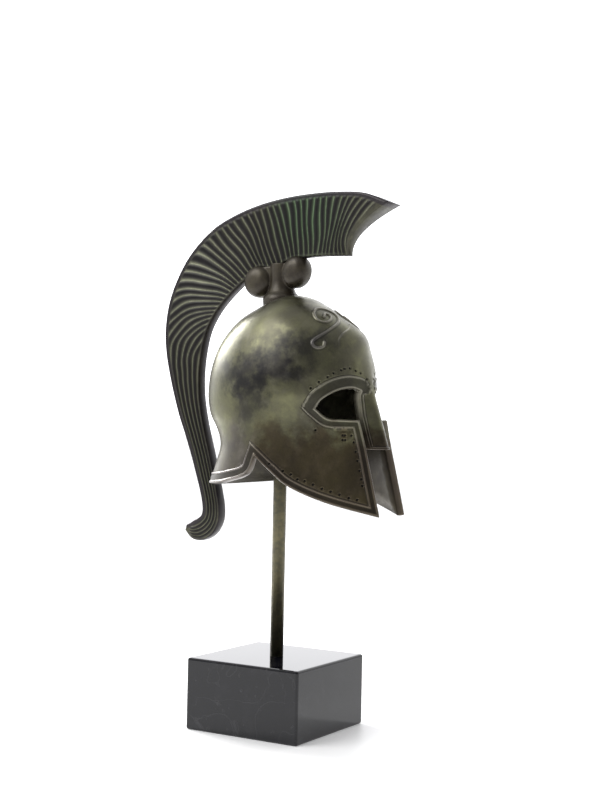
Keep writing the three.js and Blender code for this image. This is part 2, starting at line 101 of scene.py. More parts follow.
class Nodes:
    """Adds nodes to a tree and links them, in few words."""

    def __init__(self, tree):
        self.tree = tree

    def add(self, kind, inputs=None, **settings):
        node = self.tree.nodes.new(kind)
        for key, value in settings.items():
            setattr(node, key, value)
        for key, value in (inputs or {}).items():
            socket = node.inputs[key]
            if isinstance(value, bpy.types.NodeSocket):
                self.tree.links.new(value, socket)
            else:
                socket.default_value = value
        return node

    def noise(self, vector, scale, detail=4.0, roughness=0.55, distortion=0.0):
        made = self.add("ShaderNodeTexNoise", {
            "Vector": vector, "Scale": scale, "Detail": detail, "Roughness": roughness,
            "Distortion": distortion})
        return made.outputs["Fac"]

    def ramp(self, value, low, high, start=0.0, end=1.0):
        made = self.add("ShaderNodeMapRange", {
            "Value": value, "From Min": low, "From Max": high, "To Min": start, "To Max": end},
            interpolation_type="SMOOTHSTEP")
        return made.outputs["Result"]

    def mix(self, share, first, second, blend="MIX"):
        made = self.add("ShaderNodeMix", data_type="RGBA", blend_type=blend)
        for index, value in ((0, share), (6, first), (7, second)):
            if isinstance(value, bpy.types.NodeSocket):
                self.tree.links.new(value, made.inputs[index])
            else:
                made.inputs[index].default_value = value
        return made.outputs[2]

    def math(self, operation, first, second=0.0):
        made = self.add("ShaderNodeMath", {0: first, 1: second}, operation=operation)
        return made.outputs[0]

    def attribute(self, name):
        return self.add("ShaderNodeAttribute", attribute_name=name).outputs["Fac"]


def new_material(name):
    """A material, its nodes, its surface shader and its object coordinates."""
    made = bpy.data.materials.new(name)
    made.use_nodes = True
    nodes = Nodes(made.node_tree)
    shader = made.node_tree.nodes["Principled BSDF"]
    place = nodes.add("ShaderNodeTexCoord").outputs["Object"]
    return made, nodes, shader, place


def make_black_marble():
    made, nodes, shader, place = new_material("black_marble")
    clouds = nodes.noise(place, 95, 5, 0.6, 0.4)
    flecks = nodes.noise(place, 420, 3, 0.6)
    veins = nodes.noise(place, 38, 3, 0.5, 1.8)
    cloudy = nodes.mix(nodes.ramp(clouds, 0.5, 0.72), (0.001, 0.001, 0.003, 1),
                       (0.008, 0.008, 0.011, 1))
    flecked = nodes.mix(nodes.ramp(flecks, 0.62, 0.75, 0, 0.5), cloudy, (0.04, 0.04, 0.043, 1))
    vein_line = nodes.ramp(nodes.math("ABSOLUTE", nodes.math("SUBTRACT", veins, 0.5)), 0.012, 0.0)
    veined = nodes.mix(nodes.math("MULTIPLY", vein_line, 0.35), flecked, (0.035, 0.036, 0.04, 1))
    made.node_tree.links.new(veined, shader.inputs["Base Color"])
    made.node_tree.links.new(nodes.ramp(clouds, 0.35, 0.75, 0.03, 0.07), shader.inputs["Roughness"])
    shader.inputs["IOR"].default_value = 1.47
    return made


base_low, base_high = (Vector(corner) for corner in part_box("marble_base"))
corners = [(x, y, z) for x in (base_low.x, base_high.x)
           for y in (base_low.y, base_high.y) for z in (base_low.z, base_high.z)]
block_faces = [(0, 1, 3, 2), (4, 6, 7, 5), (0, 4, 5, 1), (2, 3, 7, 6), (0, 2, 6, 4), (1, 5, 7, 3)]
marble_block = make_object("marble_block", corners, block_faces, smooth=False)
edge_break = marble_block.modifiers.new("edges", "BEVEL")
edge_break.width = BASE_BEVEL
edge_break.segments = 3
baked(marble_block, make_black_marble())
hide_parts("marble_base")
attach(marble_block, "root")


# ---------------------------------------------------------------- Bronze finishes
# All castings carry a waxed patina: olive over dark brown. On the helmet and the crest the raised
# edges are lightened, partly as wear and partly as painted highlight, and the hollows get painted
# shade.
def make_patina_group():
    """Shared bronze patina: a mottled colour, its roughness, and a fine cast grain."""
    group = bpy.data.node_groups.new("bronze_patina", "ShaderNodeTree")
    sockets = group.interface
    for name, kind in (("Place", "NodeSocketVector"), ("Dark", "NodeSocketColor"),
                       ("Olive", "NodeSocketColor"), ("Pale", "NodeSocketColor"),
                       ("Worn", "NodeSocketColor"), ("Cloud Scale", "NodeSocketFloat"),
                       ("Darkness", "NodeSocketFloat"), ("Wear", "NodeSocketFloat"),
                       ("Grime", "NodeSocketFloat"), ("Rough", "NodeSocketFloat")):
        sockets.new_socket(name, in_out="INPUT", socket_type=kind)
    for name, kind in (("Color", "NodeSocketColor"), ("Roughness", "NodeSocketFloat"),
                       ("Grain", "NodeSocketFloat")):
        sockets.new_socket(name, in_out="OUTPUT", socket_type=kind)
    nodes = Nodes(group)
    given = nodes.add("NodeGroupInput").outputs
    result = nodes.add("NodeGroupOutput").inputs
    clouds = nodes.noise(given["Place"], given["Cloud Scale"], 5, 0.62, 0.5)
    mottle = nodes.noise(given["Place"], nodes.math("MULTIPLY", given["Cloud Scale"], 4.5), 5, 0.7)
    specks = nodes.noise(given["Place"], nodes.math("MULTIPLY", given["Cloud Scale"], 14), 3, 0.6)
    dark_edge = nodes.math("SUBTRACT", 0.62, nodes.math("MULTIPLY", given["Darkness"], 0.3))
    shade = nodes.math("ADD", nodes.math("MULTIPLY", clouds, 0.65),
                       nodes.math("MULTIPLY", mottle, 0.35))
    darkened = nodes.math("SUBTRACT", shade, dark_edge)
    mixed = nodes.mix(nodes.ramp(darkened, -0.2, 0.16), given["Olive"], given["Dark"])
    paled = nodes.mix(nodes.ramp(mottle, 0.45, 0.8, 0, 0.4), mixed, given["Pale"])
    speckled = nodes.mix(nodes.ramp(specks, 0.55, 0.8, 0, 0.35), paled, given["Dark"])
    # Lighter where the wear and painted highlight mask is set.
    worn_and_highlight = nodes.mix(given["Wear"], speckled, given["Worn"])
    # Painted shade: near black where the painted shade mask is set.
    with_painted_shade = nodes.mix(given["Grime"], worn_and_highlight, (0.008, 0.007, 0.008, 1))
    nodes.tree.links.new(with_painted_shade, result["Color"])
    rough = nodes.math("ADD", given["Rough"], nodes.ramp(mottle, 0.35, 0.7, -0.06, 0.12))
    rougher = nodes.math("ADD", rough, nodes.math("MULTIPLY", given["Grime"], 0.25))
    nodes.tree.links.new(rougher, result["Roughness"])
    grain = nodes.math("ADD", nodes.math("MULTIPLY", mottle, 0.7),
                       nodes.math("MULTIPLY", specks, 0.3))
    nodes.tree.links.new(grain, result["Grain"])
    return group


bronze_patina = make_patina_group()


def make_bronze(name, dark, olive, pale, worn_and_highlight, cloud_scale, darkness, rough, wear=0.0, grime=0.0,
                grain_depth=0.05, metallic=0.85, wax=0.25, tint=None):
    """A bronze finish; the wear and painted highlight mask and the painted shade mask are attribute
    names or plain amounts.
    """
    made, nodes, shader, place = new_material(name)
    patina = nodes.add("ShaderNodeGroup", node_tree=bronze_patina)
    made.node_tree.links.new(place, patina.inputs["Place"])
    for key, value in (("Dark", dark), ("Olive", olive), ("Pale", pale), ("Worn", worn_and_highlight)):
        patina.inputs[key].default_value = (*value, 1)
    for key, value in (("Cloud Scale", cloud_scale), ("Darkness", darkness), ("Rough", rough),
                       ("Wear", wear), ("Grime", grime)):
        if isinstance(value, str):
            made.node_tree.links.new(nodes.attribute(value), patina.inputs[key])
        else:
            patina.inputs[key].default_value = value
    color = patina.outputs["Color"]
    if tint:
        color = tint(nodes, place, color)
        # Over the tint, the wear and painted highlight mask lightens again and the painted shade
        # mask darkens again.
        for key, value, amount in (("wear", (*worn_and_highlight, 1), 0.25),
                                   ("grime", (0.008, 0.006, 0.006, 1), 0.6)):
            color = nodes.mix(nodes.math("MULTIPLY", nodes.attribute(key), amount), color, value)
    made.node_tree.links.new(color, shader.inputs["Base Color"])
    made.node_tree.links.new(patina.outputs["Roughness"], shader.inputs["Roughness"])
    shader.inputs["Metallic"].default_value = metallic
    shader.inputs["Coat Weight"].default_value = wax
    shader.inputs["Coat Roughness"].default_value = 0.3
    bump = nodes.add("ShaderNodeBump", {
        "Height": patina.outputs["Grain"], "Strength": 0.6, "Distance": grain_depth * MM})
    made.node_tree.links.new(bump.outputs["Normal"], shader.inputs["Normal"])
    return made


# ---------------------------------------------------------------- Support rod
# A drawn bronze rod, patinated green and brown, set upright in the base.
# It carries the helmet.
ROD_SIDES = 72
rod_low, rod_high = (Vector(corner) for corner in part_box("support_rod"))
rod_radius = (rod_high.x - rod_low.x) / 2
ring = [(rod_radius * math.cos(2 * math.pi * i / ROD_SIDES),
         rod_radius * math.sin(2 * math.pi * i / ROD_SIDES)) for i in range(ROD_SIDES)]
rod_points = [(x, y, z) for z in (rod_low.z, rod_high.z) for x, y in ring]
rod_faces = [(i, (i + 1) % ROD_SIDES, ROD_SIDES + (i + 1) % ROD_SIDES, ROD_SIDES + i)
             for i in range(ROD_SIDES)]
rod_faces += [tuple(reversed(range(ROD_SIDES))), tuple(range(ROD_SIDES, 2 * ROD_SIDES))]
rod = make_object("upright_rod", rod_points, rod_faces, smooth=False)
for face in rod.data.polygons:
    face.use_smooth = len(face.vertices) == 4
baked(rod, make_bronze(
    "rod_bronze", dark=(0.05, 0.045, 0.03), olive=(0.13, 0.115, 0.06), pale=(0.12, 0.13, 0.08),
    worn_and_highlight=(0.25, 0.2, 0.12), cloud_scale=160, darkness=0.35, rough=0.42, metallic=0.8))
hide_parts("support_rod")
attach(rod, "root")


# ---------------------------------------------------------------- Helmet bowl
# One hollow bronze casting: dome, neck guard, cheek pieces and nose guard.
# Its edges carry raised double beads, its brow a frontlet with scrolls, and punched marks.
WALL = 2.6
SKIN_AXIS_Y = -4.6
DOME_START_Z = 130
DOME_DRIFT = 0.05
# Plan sections of the skin: height, half width, front, back, power of the front's outline.
SKIN_SECTIONS = np.array([
    (83.0, 27.2, -59.6, 30.4, 1.4),
    (94.5, 27.0, -56.6, 28.4, 1.4),
    (103.0, 26.4, -54.4, 25.4, 1.4),
    (110.0, 26.0, -52.5, 23.4, 1.4),
    (116.0, 26.0, -51.0, 25.6, 1.42),
    (121.0, 26.3, -49.3, 28.8, 1.46),
    (125.5, 26.4, -43.6, 30.2, 1.7),
    (130.5, 26.4, -39.6, 30.6, 2.0),
    (138.0, 25.8, -38.4, 29.8, 2.1),
    (146.0, 24.2, -36.9, 27.3, 2.05),
    (153.0, 21.8, -33.6, 22.9, 2.0),
    (159.0, 18.4, -26.6, 16.7, 2.0),
    (164.0, 13.4, -18.6, 7.6, 2.0),
    (167.2, 7.4, -12.4, 0.6, 2.0),
    (168.3, 0.0, -6.5, -6.5, 2.0)])
# Nose guard: height, ridge, half width, how far its sides rake back.
NOSE_SECTIONS = np.array([
    (84.0, -55.0, 4.2, 5.4),
    (109.5, -47.5, 4.2, 5.4),
    (116.0, -45.6, 4.4, 5.6),
    (122.0, -43.6, 4.6, 5.2),
    (128.0, -41.6, 5.0, 4.0),
    (133.5, -40.0, 5.6, 2.4),
    (140.0, -38.0, 6.0, 1.0)])
NOSE_FOOT_Z = 109.5
NOSE_STRIP = 1.0
NOSE_BLEND = (129.0, 134.0)
SKIN_ROWS = 460
SKIN_COLUMNS = 1440


def read_table(table, place):
    """Reads the rows of a table at places between them, smoothly, all columns at once."""
    last = len(table) - 1
    place = np.clip(np.asarray(place, float), 0, last)
    index = np.minimum(place.astype(int), last - 1)
    share = (place - index)[..., None]
    here, following = table[index], table[index + 1]
    before = np.where((index == 0)[..., None], 2 * here - following,
                      table[np.maximum(index - 1, 0)])
    after = np.where((index == last - 1)[..., None], 2 * following - here,
                     table[np.minimum(index + 2, last)])
    start_slope, end_slope = (following - before) / 2, (after - here) / 2
    cubic = 2 * (here - following) + start_slope + end_slope
    square = 3 * (following - here) - 2 * start_slope - end_slope
    return ((cubic * share + square) * share + start_slope) * share + here


def fade(value, low, high):
    share = np.clip((value - low) / (high - low), 0, 1)
    return share * share * (3 - 2 * share)


def make_skin():
    """The outer skin as a grid of points, rows upwards and columns by length round the bowl
    from the back over the right side, the front and the left side to the back again."""
    last = len(SKIN_SECTIONS) - 1
    place = np.linspace(0, last, SKIN_ROWS)
    height, half_width, front, back, power = read_table(SKIN_SECTIONS, place).T[:, :, None]
    crown = SKIN_SECTIONS[last - 1]
    crown_fall = SKIN_SECTIONS[last, 0] - crown[0]
    near_top = place[:, None] > last - 1
    half_width = np.maximum(half_width, 1e-4)
    height = np.where(near_top, SKIN_SECTIONS[last, 0]
                      - crown_fall * (half_width / crown[1]) ** 2, height)
    axis_y = SKIN_AXIS_Y - np.maximum(0, height - DOME_START_Z) * DOME_DRIFT
    angle = np.linspace(-np.pi, np.pi, 2 * SKIN_COLUMNS + 1)[None, :]
    forward = np.cos(angle)
    power = np.where(forward > 0, power, 2.0)
    reach = np.where(forward > 0, axis_y - front, back - axis_y)
    x = half_width * np.sign(np.sin(angle)) * np.abs(np.sin(angle)) ** (2 / power)
    y = axis_y - reach * np.sign(forward) * np.abs(forward) ** (2 / power)
    steps = np.hypot(np.diff(x), np.diff(y))
    length = np.concatenate([np.zeros((SKIN_ROWS, 1)), np.cumsum(steps, 1)], 1)
    share = length / length[:, -1:]
    wanted = np.linspace(0, 1, SKIN_COLUMNS + 1)
    grid = np.empty((SKIN_ROWS, SKIN_COLUMNS + 1, 3))
    for row in range(SKIN_ROWS):
        grid[row, :, 0] = np.interp(wanted, share[row], x[row])
        grid[row, :, 1] = np.interp(wanted, share[row], y[row])
        grid[row, :, 2] = height[row, 0]
    perimeter = length[:, -1]
    return grid, perimeter, height[:, 0]


def add_nose(grid):
    """Pushes the front of the skin out into the nose guard's wedge."""
    x, height = np.abs(grid[..., 0]), grid[..., 2]
    ridge, half_width, rake = (
        np.interp(height, NOSE_SECTIONS[:, 0], NOSE_SECTIONS[:, k]) for k in (1, 2, 3))
    side = np.clip((x - NOSE_STRIP) / (half_width - NOSE_STRIP), 0, 2.5)
    nose = ridge + rake * side ** 1.15
    skin = grid[..., 1]
    softness = 0.8
    joined = -softness * np.log(np.exp(-nose / softness) + np.exp(-skin / softness))
    merge = fade(height, *NOSE_BLEND)
    shaped = nose + (joined - nose) * merge
    near = fade(x, half_width + 4, half_width + 1) * fade(height, 145, 139)
    below = (height < NOSE_BLEND[0]) & (x < half_width + 1.5)
    weight = np.where(below, 1.0, near * np.where(height < NOSE_BLEND[0], 0.0, 1.0))
    weight = np.where(skin < SKIN_AXIS_Y, weight, 0.0)
    grid[..., 1] = skin + (shaped - skin) * weight
    return grid


skin_grid, skin_perimeter, skin_height = make_skin()
skin_grid = add_nose(skin_grid)
along = np.gradient(skin_grid, axis=1)
upwards = np.gradient(skin_grid, axis=0)
skin_normal = np.cross(along, upwards)
skin_normal /= np.linalg.norm(skin_normal, axis=2, keepdims=True) + 1e-12
skin_normal[-1] = (0, 0, 1)
row_step = np.linalg.norm(np.diff(skin_grid, axis=0), axis=2).mean(1)
mean_radius = skin_perimeter / (2 * math.pi)
# Radius of each row in a flat map of the bowl that keeps the triangles' shapes.
inner_radius = (mean_radius[1:] + mean_radius[:-1]) / 2
log_radius = np.concatenate([np.cumsum((row_step / inner_radius)[::-1])[::-1], [0]])
log_radius -= log_radius[-8]
map_radius = np.where(np.arange(SKIN_ROWS) > SKIN_ROWS - 9, mean_radius / mean_radius[-8],
                      np.exp(log_radius))


def on_grid(values, column, row):
    """Reads a grid of values at fractional columns (0 to 1 round the bowl) and rows."""
    column = np.clip(np.asarray(column) * SKIN_COLUMNS, 0, SKIN_COLUMNS - 1e-6)
    row = np.clip(np.asarray(row), 0, SKIN_ROWS - 1 - 1e-6)
    i, j = row.astype(int), column.astype(int)
    a, b = (row - i)[..., None], (column - j)[..., None]
    return ((values[i, j] * (1 - b) + values[i, j + 1] * b) * (1 - a)
            + (values[i + 1, j] * (1 - b) + values[i + 1, j + 1] * b) * a)


def row_at(height):
    return np.interp(height, skin_height, np.arange(SKIN_ROWS))


def column_at(row, measure, wanted, first):
    """Column on the right side of a row, from the first one on, where a measure that grows
    to the front is reached."""
    half = slice(int(first * SKIN_COLUMNS), SKIN_COLUMNS // 2 + 1)
    columns = np.arange(SKIN_COLUMNS + 1)[half] / SKIN_COLUMNS
    low = int(min(row, SKIN_ROWS - 2))
    share = row - low
    values = measure[low, half] * (1 - share) + measure[low + 1, half] * share
    return np.interp(wanted, values, columns)


def spline(points, step=0.12):
    """A smooth line through points in a plane, in even steps."""
    points = np.asarray(points, float)
    dense = read_table(points, np.linspace(0, len(points) - 1, 60 * len(points)))
    return even(dense, step)


def even(line, step):
    """The same line with its points in even steps of its length."""
    length = np.concatenate([[0], np.cumsum(np.linalg.norm(np.diff(line, axis=0), axis=1))])
    count = max(2, int(round(length[-1] / step)) + 1)
    wanted = np.linspace(0, length[-1], count)
    return np.stack([np.interp(wanted, length, line[:, k]) for k in range(line.shape[1])], 1)


# Lower edge seen from the side (y, z), from the back to the cusp and on to the cheek's tip.
NECK_EDGE = [(28.2, 94.3), (14, 95.4), (7, 96.7), (0.8, 98.3), (-2.6, 100.8), (-4.7, 106.2)]
CHEEK_EDGE = [(-4.7, 106.2), (-11.4, 100.6), (-18.5, 95.2), (-31.4, 89.8), (-49.4, 84.8)]
CHEEK_TOP = (-40.7, 120.4)
# Eye opening in a plane turned 45 degrees from the front: distance towards the nose, height.
EYE_UPPER = [(5.2, 124.1), (7.4, 127.6), (12.5, 130.8), (17.5, 132.1), (21.5, 131.8), (24.8, 130.6)]
EYE_LOWER = [(21.1, 120.1), (15, 120.2), (9.6, 120.7), (5.2, 124.1)]

side_measure = -skin_grid[..., 1]
eye_measure = (skin_grid[..., 0] - skin_grid[..., 1]) * math.sqrt(0.5)
front_measure = skin_grid[..., 0]


def trace(line, measure, sign=1, first=0.0):
    """Columns and rows of a line given by a measure and a height."""
    rows = row_at(line[:, 1])
    columns = [column_at(row, measure, sign * value, first)
               for row, value in zip(rows, line[:, 0])]
    return np.stack([columns, rows], 1)


nose_side_z = np.linspace(NOSE_FOOT_Z, 130.4, 60)
nose_half = np.interp(nose_side_z, NOSE_SECTIONS[:, 0], NOSE_SECTIONS[:, 2])
nose_edge = trace(np.stack([-nose_half, nose_side_z], 1), front_measure, 1, 0.25)
nose_foot = np.stack([np.linspace(0.5, nose_edge[0, 0], 12),
                      np.full(12, row_at(NOSE_FOOT_Z))], 1)
eye_top_edge = trace(spline(EYE_UPPER)[::-1], eye_measure, 1, 0.25)
eye_top_edge = eye_top_edge[eye_top_edge[:, 0] < nose_edge[-1, 0]]
eye_low_edge = trace(spline(EYE_LOWER)[::-1], eye_measure, 1, 0.25)
cheek_front = trace(even(np.array([CHEEK_TOP, CHEEK_EDGE[-1]], float), 0.12), side_measure, -1)
cheek_low = trace(spline(CHEEK_EDGE)[::-1], side_measure, -1)
neck_low = trace(spline(NECK_EDGE)[::-1], side_measure, -1)
neck_low = np.vstack([neck_low, [0.0, row_at(94.3)]])
# Width of the raised band at the two ends of each stretch of the edge.
EYE_TOP_BAND, EYE_LOW_BAND = (4.6, 4.8), (3.4, 3.0)
CHEEK_BAND, NECK_BAND = (3.0, 3.0), (3.6, 4.2)
# The whole edge of the right half.
edge_parts = [
    (nose_foot, 0.8, 0.8), (nose_edge, 1.3, 1.8), (eye_top_edge, *EYE_TOP_BAND),
    (eye_low_edge, *EYE_LOW_BAND), (cheek_front, *CHEEK_BAND), (cheek_low, *CHEEK_BAND),
    (neck_low, *NECK_BAND)]
half_edge = np.vstack([
    np.column_stack([part, np.linspace(first, last, len(part))])
    for part, first, last in edge_parts])


def to_map(line):
    """Columns and rows of the skin to points of the flat map."""
    radius = np.interp(line[:, 1], np.arange(SKIN_ROWS), map_radius)
    turn = 2 * math.pi * line[:, 0]
    return np.stack([radius * np.cos(turn), radius * np.sin(turn)], 1)


def from_map(points):
    """Points of the flat map back to columns and rows of the skin."""
    radius = np.hypot(points[:, 0], points[:, 1])
    column = np.mod(np.arctan2(points[:, 1], points[:, 0]) / (2 * math.pi), 1.0)
    return np.stack([column, np.interp(-radius, -map_radius, np.arange(SKIN_ROWS))], 1)


def map_scale(points):
    """Millimetres on the skin for one unit of the flat map."""
    rows = from_map(points)[:, 1]
    index = np.arange(SKIN_ROWS)
    return np.interp(rows, index, mean_radius) / np.interp(rows, index, map_radius)


def on_skin(points):
    where = from_map(points)
    return on_grid(skin_grid, where[:, 0], where[:, 1])


def normals_at(points):
    where = from_map(points)
    found = on_grid(skin_normal, where[:, 0], where[:, 1])
    return found / np.linalg.norm(found, axis=1, keepdims=True)


def both_sides(half):
    """Joins a line of the right half to its mirror image; both run from the front."""
    other = half[:, :2] * (-1, 1) + (1, 0)
    mirrored = np.column_stack([other, half[:, 2:]])
    return np.vstack([half, mirrored[::-1][1:]])[:-1]


def side_normals(points, closed):
    """Unit normals of a line in the flat map, to its left."""
    if closed:
        ahead = np.roll(points, -1, 0) - np.roll(points, 1, 0)
    else:
        ahead = np.gradient(points, axis=0)
    ahead /= np.linalg.norm(ahead, axis=1, keepdims=True) + 1e-12
    return np.stack([-ahead[:, 1], ahead[:, 0]], 1)


def tree_of(points):
    made = kdtree.KDTree(len(points))
    for index, point in enumerate(points):
        made.insert(point, index)
    made.balance()
    return made


def nearest(tree, points):
    found = [tree.find(point) for point in points]
    return np.array([f[2] for f in found]), np.array([f[1] for f in found])


# Steps along the edge, rows of points over its band, and steps over the plain field.
EDGE_STEP = 0.36
FINE_STEP = 0.1
ROW_SHARES = (0.05, 0.1, 0.16, 0.22, 0.28, 0.35, 0.43, 0.52, 0.61, 0.69, 0.76, 0.83, 0.9, 0.96,
              1.02, 1.1, 1.22)
FIELD_STEP = 0.85

edge_line = both_sides(half_edge)
edge_flat = to_map(edge_line)
edge_place = on_grid(skin_grid, edge_line[:, 0], edge_line[:, 1])
edge_steps = np.linalg.norm(np.diff(np.vstack([edge_place, edge_place[:1]]), axis=0), axis=1)
edge_length = np.concatenate([[0], np.cumsum(edge_steps)])
edge_count = int(edge_length[-1] / EDGE_STEP)
edge_at = np.linspace(0, edge_length[-1], edge_count, endpoint=False)
fine_at = np.linspace(0, edge_length[-1], int(edge_length[-1] / FINE_STEP), endpoint=False)


def read_edge(at):
    """Points of the flat map and band widths at lengths along the edge."""
    closed = np.column_stack([edge_flat, edge_line[:, 2]])
    closed = np.vstack([closed, closed[:1]])
    read = [np.interp(at, edge_length, values) for values in closed.T]
    return np.stack(read[:2], 1), read[2]


edge_ring, edge_band = read_edge(edge_at)
fine_edge, fine_band = read_edge(fine_at)
edge_tree = tree_of(on_skin(fine_edge))
turning = np.sum(edge_ring[:, 0] * np.roll(edge_ring[:, 1], -1)
                 - edge_ring[:, 1] * np.roll(edge_ring[:, 0], -1))
inward = side_normals(edge_ring, True) * (1 if turning > 0 else -1)

# Frontlet edge and scroll on the brow (x, z), right side; the left side mirrors it.
FRONTLET_RISE = 0.5
FRONTLET_EDGE = [(0, 156.8), (4.2, 154.8), (8.4, 153), (11, 151), (12.3, 148.6), (13.4, 145.4),
                 (16.4, 141), (17.5, 138)]
SCROLL_WIDTH = 1.15
SCROLL_LINE = [(15.7, 149.0), (16.5, 147.4), (17.9, 146.8), (18.6, 147.6), (18.3, 149.1),
               (17.0, 150.6), (14.5, 152.4), (11.4, 154.3), (7.3, 156.3), (3.9, 158.3),
               (2.3, 160.2), (2.8, 161.5), (4.6, 162.3), (7.7, 162.2), (10.9, 160.5),
               (12.5, 158.3), (12.2, 157.0), (10.5, 156.9), (7.9, 158.0), (6.1, 159.6),
               (7.2, 160.3), (9.4, 158.9)]


def front_line(points, step):
    """A line on the front of the skin given by x and height, in the flat map."""
    line = spline(points, step) * (-1, 1)
    return to_map(trace(line, front_measure, 1, 0.25))


def mirrored(points):
    return points * (1, -1)


frontlet_line = front_line(FRONTLET_EDGE, 0.4)
scroll_line = front_line(SCROLL_LINE, 0.3)
feature_lines = [frontlet_line, mirrored(frontlet_line), scroll_line, mirrored(scroll_line)]
scroll_tree = tree_of(on_skin(np.vstack([scroll_line, mirrored(scroll_line)])))
frontlet_tree = tree_of(on_skin(np.vstack([frontlet_line, mirrored(frontlet_line)])))

CORNER_STEP = 0.34
LINE_OFFSETS = (0, 0.25, -0.25, 0.5, -0.5, 0.72, -0.72, 0.95, -0.95, 1.3, -1.3)
candidates = []
for share in ROW_SHARES:
    distance = edge_band * share
    row = edge_ring + inward * (distance / map_scale(edge_ring))[:, None]
    away_by = nearest(edge_tree, on_skin(row))[0]
    candidates.append(row[away_by > distance * 0.85])
for line in feature_lines:
    scale = map_scale(line)[:, None]
    for offset in LINE_OFFSETS:
        candidates.append(line + side_normals(line, False) * offset / scale)
for corner in (eye_low_edge[:1], neck_low[:1]):
    centre = to_map(corner)
    spread = np.arange(-8.5, 8.6, CORNER_STEP) / map_scale(centre)[0]
    patch = centre + np.stack(np.meshgrid(spread, spread), 2).reshape(-1, 2)
    candidates += [patch, mirrored(patch)]

# Punched marks: x, y and height of each on the right side; the left side mirrors them.
BROW_MARKS = [(-21.4, -25.8, 131.7), (-19.9, -28.3, 134.1), (-18.1, -30.8, 136),
              (-16.6, -32.3, 137.5), (-14.5, -34.1, 138.7), (-12, -35.9, 139.3),
              (-9.9, -37, 139.5), (-7.8, -38.1, 138.7), (-5.6, -39, 137.9), (-2.5, -39.7, 135.8)]
CHEEK_MARKS = [(-12.1, -40.4, 108.5), (-12.1, -41.3, 105.2), (-12.1, -42, 101.6),
               (-12.1, -42.9, 98.5), (-12.1, -43.7, 96.1), (-12.2, -39.4, 112.0),
               (-12.6, -38.9, 114.5), (-13.9, -37.6, 114.5), (-15.3, -36.0, 114.5),
               (-13.9, -37.6, 112.8), (-15.3, -36.0, 112.8), (-19.5, -27.0, 116.2),
               (-25.3, -11.1, 103.4), (-24.8, -13.4, 102.2), (-24.1, -16.2, 100.8),
               (-23.2, -19.2, 99.6), (-22.5, -21.7, 97.9), (-21.6, -24.3, 97.3),
               (-20.5, -27.3, 96.1), (-19.3, -30.4, 94.7), (-18, -33.4, 93.7),
               (-16.6, -36.4, 92.7), (-15, -39.5, 91.5), (-13.6, -42.3, 90.9)]
MARK_RADIUS = 0.62
MARK_RINGS = ((0.26, 6), (0.46, 9), (0.66, 12), (0.9, 14))


def mark_places(marks):
    rows = row_at(np.array([m[2] for m in marks]))
    columns = [column_at(row, front_measure, x, 0.25) if abs(x) < 14
               else column_at(row, side_measure, -y, 0.0) for row, (x, y, z) in zip(rows, marks)]
    return to_map(np.stack([columns, rows], 1))


marks_flat = mark_places(BROW_MARKS + CHEEK_MARKS)
marks_flat = np.vstack([marks_flat, mirrored(marks_flat)])
mark_rings = [marks_flat]
for radius, sides in MARK_RINGS:
    turn = np.arange(sides) * 2 * math.pi / sides
    around = np.stack([np.cos(turn), np.sin(turn)], 1) * radius
    mark_rings.append((marks_flat[:, None] + around / map_scale(marks_flat)[:, None, None])
                      .reshape(-1, 2))
candidates = [candidates[0]] + mark_rings + candidates[1:]
band_points = np.vstack(candidates)

field_points = []
walk = np.concatenate([[0], np.cumsum(row_step)])
for index, at in enumerate(np.arange(1.0, walk[-1] - 0.4, FIELD_STEP * 0.87)):
    row = np.interp(at, walk, np.arange(SKIN_ROWS))
    count = max(6, int(np.interp(row, np.arange(SKIN_ROWS), skin_perimeter) / FIELD_STEP))
    columns = np.mod((np.arange(count) + 0.5 * (index % 2)) / count, 1.0)
    field_points.append(np.stack([columns, np.full(count, row)], 1))
field_points = to_map(np.vstack(field_points))


def thin_out(points, kept, gap):
    """Drops points closer to each other than the gap, in the order they come."""
    cells = {}
    good = []
    for index, point in enumerate(kept):
        cells.setdefault(tuple((point // gap).astype(int)), []).append(point)
    for index, point in enumerate(points):
        i, j, k = (point // gap).astype(int)
        crowded = any(
            (near[0] - point[0]) ** 2 + (near[1] - point[1]) ** 2 + (near[2] - point[2]) ** 2
            < gap * gap
            for a in (i - 1, i, i + 1) for b in (j - 1, j, j + 1) for c in (k - 1, k, k + 1)
            for near in cells.get((a, b, c), ()))
        if not crowded:
            cells.setdefault((i, j, k), []).append(point)
            good.append(index)
    return good


# Least gaps between points on the bands, in the plain field and on the inside.
BAND_GAP, FIELD_GAP, INSIDE_GAP = 0.13, 0.5, 1.35
edge_solid = on_skin(edge_ring)
band_solid = on_skin(band_points)
kept = thin_out(band_solid, edge_solid, BAND_GAP)
band_points, band_solid = band_points[kept], band_solid[kept]
field_solid = on_skin(field_points)
kept = thin_out(field_solid, np.vstack([edge_solid, band_solid]), FIELD_GAP)
field_points = field_points[kept]


def within(points, ring):
    """True for the points of the flat map that lie inside a ring."""
    here, there = ring, np.roll(ring, -1, 0)
    rise = there[:, 1] - here[:, 1]
    rise = np.where(rise == 0, 1e-12, rise)
    result = np.zeros(len(points), bool)
    for start in range(0, len(points), 4000):
        x, y = points[start:start + 4000, 0, None], points[start:start + 4000, 1, None]
        spans = (here[:, 1] > y) != (there[:, 1] > y)
        crossing = here[:, 0] + (y - here[:, 1]) / rise * (there[:, 0] - here[:, 0])
        result[start:start + 4000] = (spans & (x < crossing)).sum(1) % 2 == 1
    return result


def fill(ring, inside):
    """Triangles over the ring and the points inside it."""
    points = np.vstack([ring, inside[within(inside, ring)]])
    count = len(ring)
    found = delaunay_2d_cdt([Vector(p) for p in points],
                            [(i, (i + 1) % count) for i in range(count)], [], 0, 1e-9, True)
    flat = np.array([tuple(v) for v in found[0]])
    faces = np.array(found[2])
    return flat, faces[within(flat[faces].mean(1), ring)], found[3]


